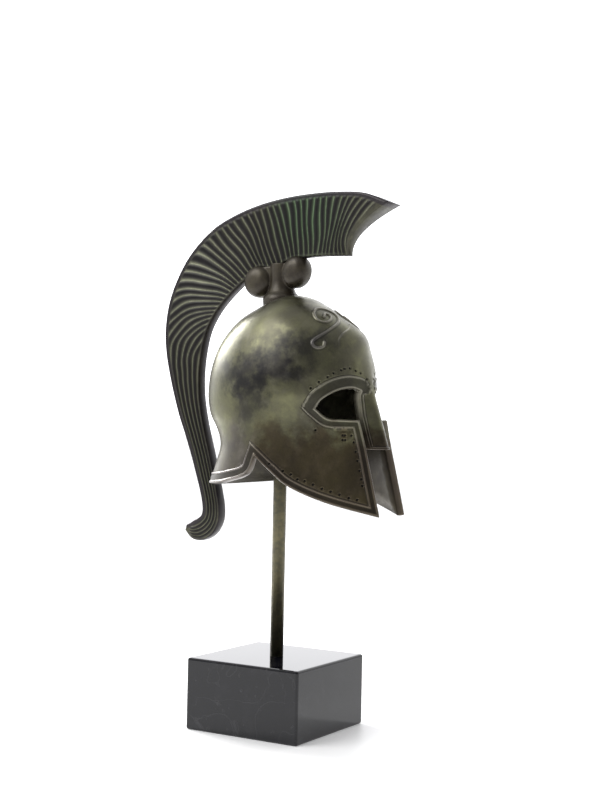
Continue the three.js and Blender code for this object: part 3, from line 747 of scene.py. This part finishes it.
outer_flat, outer_faces, origin = fill(edge_ring, np.vstack([band_points, field_points]))
outer_place, outer_normal = on_skin(outer_flat), normals_at(outer_flat)


# Steps past a line's ends in the flat map, and how far from a corner its two bands are read.
LEAD = np.arange(1, 90)[:, None] * 0.12 / map_scale(to_map(eye_low_edge[:1]))[0]
CORNER_REACH = 8.5


def band_share(line, first_band, last_band, place, flat):
    """Signed distance from a line of the edge, run on straight past its ends, over the band."""
    before = line[:1] + (line[0] - line[8]) / np.linalg.norm(line[0] - line[8]) * LEAD
    after = line[-1:] + (line[-1] - line[-9]) / np.linalg.norm(line[-1] - line[-9]) * LEAD
    longer = np.vstack([before[::-1], line, after])
    widths = np.concatenate([np.full(len(before), first_band),
                             np.linspace(first_band, last_band, len(line)),
                             np.full(len(after), last_band)])
    distance, index = nearest(tree_of(on_skin(longer)), place)
    sides = side_normals(longer, False)[index]
    sign = np.sign(np.sum((flat - longer[index]) * sides, 1)) * (1 if turning > 0 else -1)
    return sign * distance / widths[index], widths[index]


# Raised bands: half width of a bead, heights of the inner and outer bead and of the channel.
BEAD_HALF, BEAD_SHARE = 0.42, 0.2
INNER_BEAD_RISE, OUTER_BEAD_RISE, CHANNEL_RISE = 0.55, 0.5, 0.22
GROOVE_DEPTH, GROOVE_WIDTH, GROOVE_GAP = 0.12, 0.16, 0.12
SCROLL_RISE = 0.5


def relief(place, flat):
    """Height of the cast ornament over the plain skin, with its wear and painted highlight mask and
    its painted shade mask.
    """
    distance, index = nearest(edge_tree, place)
    band = fine_band[index]
    # Bands that meet round an outer corner run on to a point instead of turning round it.
    right_flat = np.where(flat[:, 1:] < 0, flat * (1, -1), flat)
    right_place = place.copy()
    right_place[:, 0] = -np.abs(place[:, 0])
    for line_one, ends_one, line_two, ends_two in (
            (eye_top_edge, EYE_TOP_BAND, eye_low_edge, EYE_LOW_BAND),
            (cheek_low, CHEEK_BAND, neck_low[:-1], NECK_BAND)):
        centre = on_grid(skin_grid, line_two[:1, 0], line_two[:1, 1])[0]
        close = np.nonzero(np.linalg.norm(right_place - centre, axis=1) < CORNER_REACH)[0]
        here = right_place[close], right_flat[close]
        one, band_one = band_share(to_map(line_one), *ends_one, *here)
        two, band_two = band_share(to_map(line_two), *ends_two, *here)
        larger = np.where(one > two, band_one, band_two)
        distance[close] = np.maximum(np.maximum(one, two), 0) * larger
        band[close] = larger
    bead = np.minimum(BEAD_HALF, band * BEAD_SHARE)
    inner_bead = np.sqrt(np.clip(1 - ((distance - (band - bead)) / bead) ** 2, 0, 1))
    outer_bead = np.sqrt(np.clip(1 - ((distance - bead * 0.8) / bead) ** 2, 0, 1))
    bottom = np.where(distance < band - bead, CHANNEL_RISE, 0.0)
    height = np.maximum(bottom, np.maximum(INNER_BEAD_RISE * inner_bead,
                                           OUTER_BEAD_RISE * outer_bead))
    # The bead tops are lightened, partly as wear and partly as painted highlight.
    wear = 0.8 * np.maximum(inner_bead, outer_bead) ** 3
    channel = np.clip(1 - np.maximum(inner_bead, outer_bead) * 1.6, 0, 1) * (distance < band)
    groove = np.exp(-((distance - band - GROOVE_GAP) / GROOVE_WIDTH) ** 2)
    height = height - GROOVE_DEPTH * groove
    # Painted shade: the channel between the beads and the groove beside each band are darkened.
    grime = np.clip(channel * 0.75 + groove, 0, 1)
    plate_edge = nearest(frontlet_tree, place)[0]
    plate_line = np.array(FRONTLET_EDGE)
    reach = np.interp(-place[:, 2], -plate_line[:, 1], plate_line[:, 0])
    on_plate = (np.abs(place[:, 0]) < reach) & (place[:, 1] < -15) & (distance > band)
    upper_part = fade(place[:, 2], 146, 152)
    height = height + FRONTLET_RISE * on_plate * fade(plate_edge, 0, 0.6) * upper_part
    # Painted highlight: a light line along the frontlet's upper edge, added to the wear mask.
    edge_gleam = on_plate * np.exp(-((plate_edge - 0.5) / 0.3) ** 2)
    wear = np.maximum(wear, 0.6 * edge_gleam * upper_part)
    scroll = nearest(scroll_tree, place)[0]
    ribbon = np.sqrt(np.clip(1 - (scroll / (SCROLL_WIDTH * 0.5)) ** 2, 0, 1))
    height = height + SCROLL_RISE * ribbon
    # Painted shade: a dark line along both sides of the scroll.
    beside = np.exp(-((scroll - SCROLL_WIDTH * 0.62) / 0.22) ** 2)
    grime = np.maximum(grime, beside * 0.7)
    wear = np.maximum(wear, ribbon ** 2)
    return height, wear, grime


outer_height, outer_wear_and_highlight, outer_painted_hollow_shade = relief(outer_place, outer_flat)
outer_shape = outer_place + outer_normal * outer_height[:, None]

inner_field = field_points[thin_out(on_skin(field_points), edge_solid, INSIDE_GAP)]
inner_flat, inner_faces, inner_origin = fill(edge_ring, inner_field)
inner_place, inner_normal = on_skin(inner_flat), normals_at(inner_flat)
nose_half_width = np.interp(inner_place[:, 2], NOSE_SECTIONS[:, 0], NOSE_SECTIONS[:, 2])
at_nose = (fade(np.abs(inner_place[:, 0]), nose_half_width + 2.5, nose_half_width + 0.5)
           * fade(inner_place[:, 2], 136, 130) * (inner_place[:, 1] < -20))
thrust = inner_normal * (1 - at_nose[:, None]) + np.array([0, -1, 0]) * at_nose[:, None]
thrust /= np.linalg.norm(thrust, axis=1, keepdims=True)
inner_shape = inner_place - thrust * WALL


def edge_order(origins):
    """Vertex numbers of the ring's points after the fill, in ring order."""
    order = np.full(edge_count, -1)
    for vertex, ids in enumerate(origins):
        for original in ids:
            if original < edge_count:
                order[original] = vertex
    return order


outer_edge, inner_edge = edge_order(origin), edge_order(inner_origin)
offset_inner = len(outer_shape)
offset_strip = offset_inner + len(inner_shape)
edge_out = on_skin(edge_ring - inward * 1e-3) - on_skin(edge_ring)
edge_out /= np.linalg.norm(edge_out, axis=1, keepdims=True)
# Rows across the thickness of the edge, rounded outwards by this much in the middle.
STRIP_SHARES, STRIP_BULGE = (0.2, 0.5, 0.8), 0.28
strip_rows = []
for share in STRIP_SHARES:
    bulge = STRIP_BULGE * math.sin(math.pi * share) ** 0.6
    strip_rows.append(outer_shape[outer_edge] * (1 - share) + inner_shape[inner_edge] * share
                      + edge_out * bulge)
strip_points = np.vstack(strip_rows)
columns = [outer_edge]
for number in range(len(STRIP_SHARES)):
    columns.append(offset_strip + number * edge_count + np.arange(edge_count))
columns.append(offset_inner + inner_edge)
strip_faces = []
for upper, lower in zip(columns, columns[1:]):
    following_upper, following_lower = np.roll(upper, -1), np.roll(lower, -1)
    strip_faces.append(np.stack([upper, lower, following_lower, following_upper], 1))
strip_faces = np.vstack(strip_faces)


def facing(points, faces, normals):
    """True where the triangles' own normals agree with the given ones."""
    a, b, c = (points[faces[:, k]] for k in range(3))
    return np.sum(np.cross(b - a, c - a) * normals[faces[:, 0]]) > 0


outer_list, inner_list = outer_faces, inner_faces
if not facing(outer_place, outer_faces, outer_normal):
    outer_list = outer_faces[:, ::-1]
if facing(inner_place, inner_faces, inner_normal):
    inner_list = inner_faces[:, ::-1]
helmet_points = np.vstack([outer_shape, inner_shape, strip_points]) * MM
ring_a, ring_b, ring_c = (helmet_points[strip_faces[:, k]] for k in (0, 1, 3))
strip_normal = np.cross(ring_b - ring_a, ring_c - ring_a)
if np.sum(strip_normal[:edge_count] * edge_out) < 0:
    strip_faces = strip_faces[:, ::-1]
helmet_faces = ([tuple(f) for f in outer_list] + [tuple(f + offset_inner) for f in inner_list]
                + [tuple(f) for f in strip_faces])
helmet = make_object("helmet_casting", helmet_points, helmet_faces)


def store(made, name, values):
    made.data.attributes.new(name, "FLOAT", "POINT").data.foreach_set(
        "value", np.asarray(values, np.float32))


spare_inner, spare_strip = np.zeros(len(inner_shape)), np.zeros(len(strip_points))
store(helmet, "wear", np.concatenate([outer_wear_and_highlight * 0.6, spare_inner, spare_strip + 0.4]))
# Painted shade: the whole inside of the bowl is darkened by 0.35.
store(helmet, "grime", np.concatenate([outer_painted_hollow_shade * 0.6, spare_inner + 0.35, spare_strip]))

# Dark clouds of the patina, the same on both sides: centre, radius and strength.
SMOKE = (((0.0205, -0.0225, 0.145), 0.010, 0.8), ((0.0245, -0.0125, 0.141), 0.011, 0.8),
         ((0.026, 0.0, 0.138), 0.011, 0.85), ((0.024, 0.009, 0.137), 0.009, 0.6),
         ((0.0265, -0.002, 0.127), 0.010, 0.7), ((0.012, -0.031, 0.152), 0.008, 0.5))


def helmet_tint(nodes, place, color):
    """Dark smoke over the temples, brown cheeks, paler grey on the neck guard."""
    parts = nodes.add("ShaderNodeSeparateXYZ", {0: place}).outputs
    broken = nodes.noise(place, 130, 4, 0.6)
    unfolded = nodes.add("ShaderNodeCombineXYZ", {
        0: nodes.math("ABSOLUTE", parts["X"]), 1: parts["Y"], 2: parts["Z"]}).outputs["Vector"]

    def spot(centre, radius, amount):
        gap = nodes.add("ShaderNodeVectorMath", {0: unfolded, 1: centre}, operation="DISTANCE")
        gap = nodes.math("ADD", gap.outputs["Value"], nodes.ramp(broken, 0.3, 0.7, 0.004, -0.004))
        return nodes.ramp(gap, radius * 1.25, radius * 0.1, 0, amount)

    smoked = color
    for centre, radius, amount in SMOKE:
        smoked = nodes.mix(spot(centre, radius, amount), smoked, (0.2, 0.19, 0.33, 1), "MULTIPLY")
    low = nodes.ramp(nodes.math("ADD", parts["Z"], nodes.ramp(broken, 0.3, 0.7, -0.005, 0.005)),
                     0.122, 0.11)
    ahead = nodes.ramp(parts["Y"], 0.002, -0.008)
    cheek = nodes.math("MULTIPLY", nodes.math("MULTIPLY", low, ahead), 0.85)
    browned = nodes.mix(cheek, smoked, (0.36, 0.25, 0.2, 1), "MULTIPLY")
    astern = nodes.ramp(parts["Y"], -0.008, 0.002)
    behind = nodes.math("MULTIPLY", nodes.math("MULTIPLY", low, astern), 0.7)
    return nodes.mix(behind, browned, (0.95, 0.86, 1.2, 1), "MULTIPLY")


helmet_bronze = make_bronze(
    "helmet_bronze", dark=(0.07, 0.065, 0.045), olive=(0.17, 0.17, 0.085),
    pale=(0.24, 0.235, 0.15), worn_and_highlight=(0.3, 0.28, 0.24), cloud_scale=42, darkness=0.45, rough=0.36,
    wear="wear", grime="grime", tint=helmet_tint)


def new_tree(name, inputs):
    """A tree that takes a mesh, some named inputs and a finish; its nodes and its inputs."""
    tree = bpy.data.node_groups.new(name, "GeometryNodeTree")
    for title, kind in (("Geometry", "Geometry"), *inputs, ("Finish", "Material")):
        tree.interface.new_socket(title, in_out="INPUT", socket_type="NodeSocket" + kind)
    tree.interface.new_socket("Geometry", in_out="OUTPUT", socket_type="NodeSocketGeometry")
    nodes = Nodes(tree)
    return tree, nodes, nodes.add("NodeGroupInput").outputs


def stored(nodes, name):
    return nodes.add("GeometryNodeInputNamedAttribute", {"Name": name},
                     data_type="FLOAT").outputs["Attribute"]


def noted(nodes, geometry, name, value):
    """The mesh with a value stored on its points."""
    return nodes.add("GeometryNodeStoreNamedAttribute", {
        "Geometry": geometry, "Name": name, "Value": value},
        data_type="FLOAT", domain="POINT").outputs["Geometry"]


def raised(tree, nodes, given, geometry, height):
    """Ends a tree: moves the mesh along its normals and gives it its finish."""
    offset = nodes.add("ShaderNodeVectorMath", {
        0: nodes.add("GeometryNodeInputNormal").outputs["Normal"], "Scale": height},
        operation="SCALE").outputs["Vector"]
    moved = nodes.add("GeometryNodeSetPosition", {"Geometry": geometry, "Offset": offset})
    real = nodes.add("GeometryNodeRealizeInstances", {"Geometry": moved.outputs["Geometry"]})
    dressed = nodes.add("GeometryNodeSetMaterial", {
        "Geometry": real.outputs["Geometry"], "Material": given["Finish"]})
    result = nodes.add("NodeGroupOutput").inputs
    tree.links.new(dressed.outputs["Geometry"], result["Geometry"])
    return tree


def make_punch_tree():
    """Sinks a round pit with a soft lip round every point of a second mesh, and paints shade into
    the pit.
    """
    tree, nodes, given = new_tree("punched_marks", (
        ("Marks", "Object"), ("Pit Radius", "Float"), ("Pit Depth", "Float"),
        ("Lip Height", "Float")))
    marks = nodes.add("GeometryNodeObjectInfo", {"Object": given["Marks"]}).outputs["Geometry"]
    gap = nodes.add("GeometryNodeProximity", {0: marks}, target_element="POINTS")
    share = nodes.math("DIVIDE", gap.outputs["Distance"], given["Pit Radius"])
    pit = nodes.ramp(share, 1.0, 0.25)
    lip = nodes.math("MULTIPLY", nodes.ramp(share, 1.7, 1.15), nodes.ramp(share, 0.9, 1.15))
    height = nodes.math("SUBTRACT", nodes.math("MULTIPLY", lip, given["Lip Height"]),
                        nodes.math("MULTIPLY", pit, given["Pit Depth"]))
    # Painted shade: the pit is darkened through the shade mask.
    with_painted_shade = noted(nodes, given["Geometry"], "grime",
                   nodes.math("MAXIMUM", stored(nodes, "grime"), pit))
    return raised(tree, nodes, given, with_painted_shade, height)


def grow(made, tree, values):
    """Puts a tree on an object as a modifier and sets its named inputs."""
    modifier = made.modifiers.new(tree.name, "NODES")
    modifier.node_group = tree
    for item in tree.interface.items_tree:
        if item.in_out == "INPUT" and item.name in values:
            modifier[item.identifier] = values[item.name]
    return modifier


PIT_DEPTH, LIP_HEIGHT = 0.5 * MM, 0.12 * MM
marks = make_object("mark_points", on_skin(marks_flat) * MM, [])
grow(helmet, make_punch_tree(), {
    "Marks": marks, "Pit Radius": MARK_RADIUS * MM, "Pit Depth": PIT_DEPTH,
    "Lip Height": LIP_HEIGHT, "Finish": helmet_bronze})
baked(helmet, helmet_bronze)
bpy.data.objects.remove(marks)
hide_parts("helmet_bowl")
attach(helmet, "root")


# ---------------------------------------------------------------- Crest
# A cast bronze plate in the shape of a horsehair crest, swept back over the bowl.
# Both sides are ribbed across, the ribs running on into long lines down the tail.
# Rows from the front cut to the tail's curl: inner y z, outer y z, half thicknesses.
CREST_ROWS = np.array([
    (-30.2, 182.8, -48.3, 201.8, 1.2, 5.5), (-25, 183, -38, 205.8, 1.4, 5.2),
    (-18.5, 183.2, -26.5, 207.1, 1.7, 4.9), (-11.5, 183, -14.5, 207.2, 2.0, 4.6),
    (-4, 182.4, -2.6, 206.4, 2.2, 4.4), (3.6, 179.2, 9.3, 204.5, 2.3, 4.2),
    (10.5, 179.8, 21, 201.1, 2.4, 4.1), (16.5, 175.6, 32, 196, 2.4, 4.0),
    (22, 171.3, 42.2, 187.3, 2.4, 3.9), (27.2, 166.6, 49.2, 177.2, 2.4, 3.8),
    (31.6, 161.4, 53.6, 166.4, 2.4, 3.7), (35.2, 155, 55.2, 155.6, 2.4, 3.6),
    (37.3, 147, 54.6, 146.5, 2.4, 3.5), (38.3, 138, 52.7, 137.6, 2.4, 3.4),
    (38, 129, 50.3, 129, 2.4, 3.3), (36.5, 120.5, 47.5, 120.5, 2.4, 3.2),
    (34.4, 112.5, 44.2, 112.5, 2.4, 3.1), (32.2, 105, 41.2, 104.6, 2.4, 3.0),
    (30.2, 97.5, 38.6, 96.8, 2.4, 2.9), (28.4, 90.5, 36.4, 89.8, 2.4, 2.8),
    (27.2, 84.5, 35.3, 84.2, 2.4, 2.7), (27.4, 78.6, 35.7, 81, 2.3, 2.6),
    (30.2, 73.6, 37.6, 79.4, 2.2, 2.4), (35.2, 70.6, 39.7, 78.4, 2.0, 2.2),
    (40.6, 70.9, 41.6, 77.4, 1.8, 1.8), (44.6, 74.2, 43.8, 76.4, 1.4, 1.4)])
CREST_FRONT_HOLLOW = 5.6
CREST_LENGTHWISE = 640
CREST_ACROSS = 46
CREST_CORNER = 0.5
RIB_PITCH = 2.6

crest_place = np.linspace(0, len(CREST_ROWS) - 1, 4001)
crest_rows = read_table(CREST_ROWS, crest_place)
middle = (crest_rows[:, 0:2] + crest_rows[:, 2:4]) / 2
crest_walk = np.concatenate([[0], np.cumsum(np.linalg.norm(np.diff(middle, axis=0), axis=1))])
place_at = np.interp(np.linspace(0, crest_walk[-1], CREST_LENGTHWISE), crest_walk, crest_place)
rows = read_table(CREST_ROWS, place_at)
across = np.linspace(0, 1, CREST_ACROSS)
across = across + np.sin(2 * math.pi * across) * -0.03
v, u = np.meshgrid(across, place_at)
inner_y, inner_z, outer_y, outer_z, inner_half, outer_half = (rows[:, k, None] for k in range(6))
hollow = CREST_FRONT_HOLLOW * 4 * v * (1 - v) * (1 - fade(u, 0, 2.5))
crest_y = inner_y * (1 - v) + outer_y * v + hollow
crest_z = inner_z * (1 - v) + outer_z * v
crest_half = inner_half * (1 - v) + outer_half * v
span = np.hypot(outer_y - inner_y, outer_z - inner_z)
from_inner, from_outer = v * span, (1 - v) * span
front_steps = np.hypot(np.diff(crest_y, axis=0), np.diff(crest_z, axis=0)).mean(1)
from_front = np.concatenate([[0], np.cumsum(front_steps)])[:, None] + 0 * v
from_end = from_front[-1:] - from_front
to_border = np.minimum(np.minimum(from_inner, from_outer), np.minimum(from_front, from_end))
rounded = np.clip(to_border / CREST_CORNER, 0, 1)
crest_half = crest_half - CREST_CORNER * (1 - np.sqrt(1 - (1 - rounded) ** 2))
# Ribs run where a phase passes whole numbers: across the crest in front, along the tail behind.
steps_along = np.diff(np.interp(place_at, crest_place, crest_walk), prepend=0.0)
rib_start = np.cumsum(steps_along / RIB_PITCH * fade(place_at, 13.0, 10.0))[:, None]
rib_lean = 1.0 + 5.0 * fade(u, 6.0, 12.5)
wander = (0.1 * np.sin(u * 3.1 + v * 4.0) + 0.08 * np.sin(u * 6.3 - v * 5.0 + 1.0)
          + 0.06 * np.sin(u * 1.3 + v * 9.0 + 2.0)) * fade(u, 16.0, 8.0)
rib_phase = rib_start - rib_lean * v + wander
rib_mask = (fade(from_outer, 1.3, 2.6) * fade(from_inner, 0.5, 1.5)
            * fade(from_front, 1.4, 2.6) * fade(from_end, 1.5, 4.0))
side = np.stack([-crest_half, crest_y, crest_z], 2).reshape(-1, 3)
count = len(side)
crest_points = np.vstack([side, side * (-1, 1, 1)])
index = np.arange(count).reshape(CREST_LENGTHWISE, CREST_ACROSS)
a, b, c, d = index[:-1, :-1], index[1:, :-1], index[1:, 1:], index[:-1, 1:]
right = np.stack([a, b, c, d], 2).reshape(-1, 4)
crest_faces = [tuple(f) for f in right] + [tuple(f[::-1] + count) for f in right]
rim = np.concatenate([index[:, 0], index[-1, 1:], index[::-1, -1][1:], index[0, ::-1][1:-1]])
ahead = np.roll(rim, -1)
crest_faces += [(i, i + count, j + count, j) for i, j in zip(rim, ahead)]
crest = make_object("ribbed_crest", crest_points * MM, crest_faces)
store(crest, "phase", np.concatenate([rib_phase.ravel()] * 2))
store(crest, "ribbed", np.concatenate([rib_mask.ravel()] * 2))
# Painted dark reflection: a mask for a near-black band along the outer border and the inner edge.
painted_edge_reflection = np.maximum(fade(from_outer, 2.4, 1.2), fade(from_inner, 0.7, 0.1))
store(crest, "painted_edge_reflection", np.concatenate([painted_edge_reflection.ravel()] * 2))


def make_rib_tree():
    """Raises sharp ribs and hollows wide flutes between them, from a stored phase; the rib tops are
    lightened and the flutes get painted shade.
    """
    tree, nodes, given = new_tree("crest_ribs", (
        ("Rib Height", "Float"), ("Flute Depth", "Float"), ("Rib Sharpness", "Float")))
    ribbed = stored(nodes, "ribbed")
    turn = nodes.math("MULTIPLY", stored(nodes, "phase"), math.pi)
    flute = nodes.math("ABSOLUTE", nodes.math("SINE", turn))
    rib = nodes.math("POWER", nodes.math("SUBTRACT", 1.0, flute), given["Rib Sharpness"])
    rise = nodes.math("MULTIPLY", rib, given["Rib Height"])
    fall = nodes.math("MULTIPLY", nodes.math("SUBTRACT", 1.0, rib), given["Flute Depth"])
    height = nodes.math("MULTIPLY", nodes.math("SUBTRACT", rise, fall), ribbed)
    worn_and_highlight = noted(nodes, given["Geometry"], "wear", nodes.math("MULTIPLY", rib, ribbed))
    # Painted shade: the flutes between the ribs are darkened.
    with_painted_shade = noted(nodes, worn_and_highlight, "grime",
                   nodes.math("MULTIPLY", nodes.math("POWER", flute, 0.8), ribbed))
    return raised(tree, nodes, given, with_painted_shade, height)


def crest_tint(nodes, place, color):
    """Verdigris near the top, and a painted dark reflection in near-black purple along the outer
    and inner edges.
    """
    spot = nodes.add("ShaderNodeVectorMath", {0: place, 1: (0, -0.012, 0.2)}, operation="DISTANCE")
    green = nodes.ramp(spot.outputs["Value"], 0.024, 0.004, 0, 0.9)
    tinted = nodes.mix(green, color, (0.75, 1.35, 1.0, 1), "MULTIPLY")
    edge_reflection_share = nodes.ramp(nodes.attribute("painted_edge_reflection"), 0.2, 0.9, 0, 0.8)
    return nodes.mix(edge_reflection_share, tinted, (0.022, 0.018, 0.024, 1))


crest_bronze = make_bronze(
    "crest_bronze", dark=(0.022, 0.02, 0.018), olive=(0.1, 0.097, 0.06), pale=(0.16, 0.16, 0.11),
    worn_and_highlight=(0.22, 0.225, 0.15), cloud_scale=45, darkness=0.5, rough=0.42, wear="wear", grime="grime",
    tint=crest_tint)
RIB_HEIGHT, FLUTE_DEPTH, RIB_SHARPNESS = 0.38 * MM, 0.3 * MM, 1.5
grow(crest, make_rib_tree(), {
    "Rib Height": RIB_HEIGHT, "Flute Depth": FLUTE_DEPTH, "Rib Sharpness": RIB_SHARPNESS,
    "Finish": crest_bronze})
baked(crest, crest_bronze)
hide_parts("crest")
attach(crest, "root")


# ---------------------------------------------------------------- Crest holder
# A cast neck on the crown with two drums side by side, which grip the crest's lower edge.
# The rod runs up into it.
NECK_CENTRE_Y = 1.0
NECK_PROFILE = [(7.4, 164.6), (7.5, 167), (6.9, 168.4), (5.6, 169.8), (4.8, 172), (4.5, 175),
                (4.6, 181)]
# Each bulb: centre y and z, half sizes along x, y and z, lean of its top towards the front.
BULBS = ((-5.8, 177.6, 4.9, 5.5, 6.5, 20), (11.0, 174.3, 5.2, 6.3, 6.4, -14))
SADDLE = ((-2.7, -7.0, 173.0), (2.7, 13.0, 180.0))
# How square a bulb's outline is across and along, and the grain of its cast surface.
BULB_STEPS, BULB_ROUND, BULB_FLAT = 24, 0.7, 0.75
HOLDER_VOXEL = 0.25 * MM


def lathe(profile, centre, axis, sides=72):
    """A closed turned body from (radius, along) points round an axis through a centre."""
    points, faces = [], []
    for radius, along_axis in profile:
        for i in range(sides):
            turn = 2 * math.pi * i / sides
            if axis == "Z":
                points.append((centre[0] + radius * math.cos(turn),
                               centre[1] + radius * math.sin(turn), along_axis))
            else:
                points.append((along_axis, centre[1] + radius * math.cos(turn),
                               centre[2] + radius * math.sin(turn)))
    for k in range(len(profile) - 1):
        for i in range(sides):
            j = (i + 1) % sides
            faces.append((k * sides + i, k * sides + j, (k + 1) * sides + j, (k + 1) * sides + i))
    faces.append(tuple(reversed(range(sides))))
    faces.append(tuple(range((len(profile) - 1) * sides, len(profile) * sides)))
    return points, faces


parts = [lathe([tuple(p) for p in spline(NECK_PROFILE, 0.3)], (0, NECK_CENTRE_Y, 0), "Z")]
for y, z, half_x, half_y, half_z, lean in BULBS:
    profile = []
    for k in range(1, BULB_STEPS):
        t = math.pi * k / BULB_STEPS
        profile.append((math.sin(t) ** BULB_ROUND,
                        -math.copysign(abs(math.cos(t)) ** BULB_FLAT, math.cos(t))))
    bulb_points, bulb_faces = lathe(profile, (0, 0, 0), "X")
    turn = math.radians(lean)
    turned = []
    for bx, by, bz in bulb_points:
        by, bz = by * half_y, bz * half_z
        turned.append((bx * half_x, y + by * math.cos(turn) - bz * math.sin(turn),
                       z + by * math.sin(turn) + bz * math.cos(turn)))
    parts.append((turned, bulb_faces))
saddle_low, saddle_high = SADDLE
parts.append(([(x, y, z) for x in (saddle_low[0], saddle_high[0])
               for y in (saddle_low[1], saddle_high[1]) for z in (saddle_low[2], saddle_high[2])],
              block_faces))
points, faces = [], []
for part_points, part_faces in parts:
    faces += [tuple(i + len(points) for i in f) for f in part_faces]
    points += part_points
holder = make_object("crest_holder_casting", np.array(points) * MM, faces)
melt = holder.modifiers.new("cast as one", "REMESH")
melt.mode = "VOXEL"
melt.voxel_size = HOLDER_VOXEL
melt.use_smooth_shade = True
soften = holder.modifiers.new("soft hollows", "SMOOTH")
soften.iterations = 8
soften.factor = 0.6
baked(holder, make_bronze(
    "holder_bronze", dark=(0.02, 0.014, 0.009), olive=(0.062, 0.052, 0.03),
    pale=(0.1, 0.085, 0.05), worn_and_highlight=(0.2, 0.17, 0.11), cloud_scale=110, darkness=0.5, rough=0.4,
    metallic=0.6))
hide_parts("crest_holder")
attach(holder, "root")


# ---------------------------------------------------------------- Floor and light
# A plain white floor and white surroundings, with large soft lamps.
def make_floor():
    made, nodes, shader, place = new_material("floor_white")
    shader.inputs["Base Color"].default_value = (0.9, 0.9, 0.9, 1)
    shader.inputs["Roughness"].default_value = 0.45
    shader.inputs["Emission Color"].default_value = (1, 1, 1, 1)
    shader.inputs["Emission Strength"].default_value = 0.15
    return made


FLOOR_REACH = 8
floor_corners = [(FLOOR_REACH * x, FLOOR_REACH * y, 0)
                 for x, y in ((-1, -1), (1, -1), (1, 1), (-1, 1))]
floor = make_object("floor", floor_corners, [(0, 1, 2, 3)], smooth=False)
floor.data.materials.append(make_floor())
world = bpy.data.worlds.new("white room")
world.use_nodes = True
room = Nodes(world.node_tree)
direction = room.add("ShaderNodeTexCoord").outputs["Generated"]
towards_front = room.add("ShaderNodeVectorMath", {0: direction, 1: (-0.85, -0.52, 0.0)},
                         operation="DOT_PRODUCT").outputs["Value"]
# The white room is dimmer in front of the helmet's right cheek than behind it.
sides = room.mix(room.ramp(towards_front, 0.0, 0.85), (1, 1, 1, 1), (0.28, 0.28, 0.3, 1))
wall = room.mix(room.ramp(towards_front, -0.35, -0.95), sides, (2.1, 2.1, 2.15, 1))
background = world.node_tree.nodes["Background"]
world.node_tree.links.new(wall, background.inputs["Color"])
background.inputs["Strength"].default_value = 0.95
bpy.context.scene.world = world


def softbox(name, place, aim, size, power):
    lamp = bpy.data.lights.new(name, "AREA")
    lamp.shape = "RECTANGLE"
    lamp.size, lamp.size_y = size
    lamp.energy = power
    made = bpy.data.objects.new(name, lamp)
    made.location = Vector(place)
    made.rotation_mode = "QUATERNION"
    made.rotation_quaternion = (Vector(aim) - Vector(place)).to_track_quat("-Z", "Y")
    bpy.context.collection.objects.link(made)
    return made


rear = softbox("rear softbox", (0.2, 0.7, 0.46), (0, 0, 0.14), (0.3, 0.3), 7.0)
left = softbox("left softbox", (-0.45, 0.3, 0.6), (0, 0, 0.13), (0.45, 0.45), 3.0)
bpy.context.scene.view_settings.view_transform = "Standard"
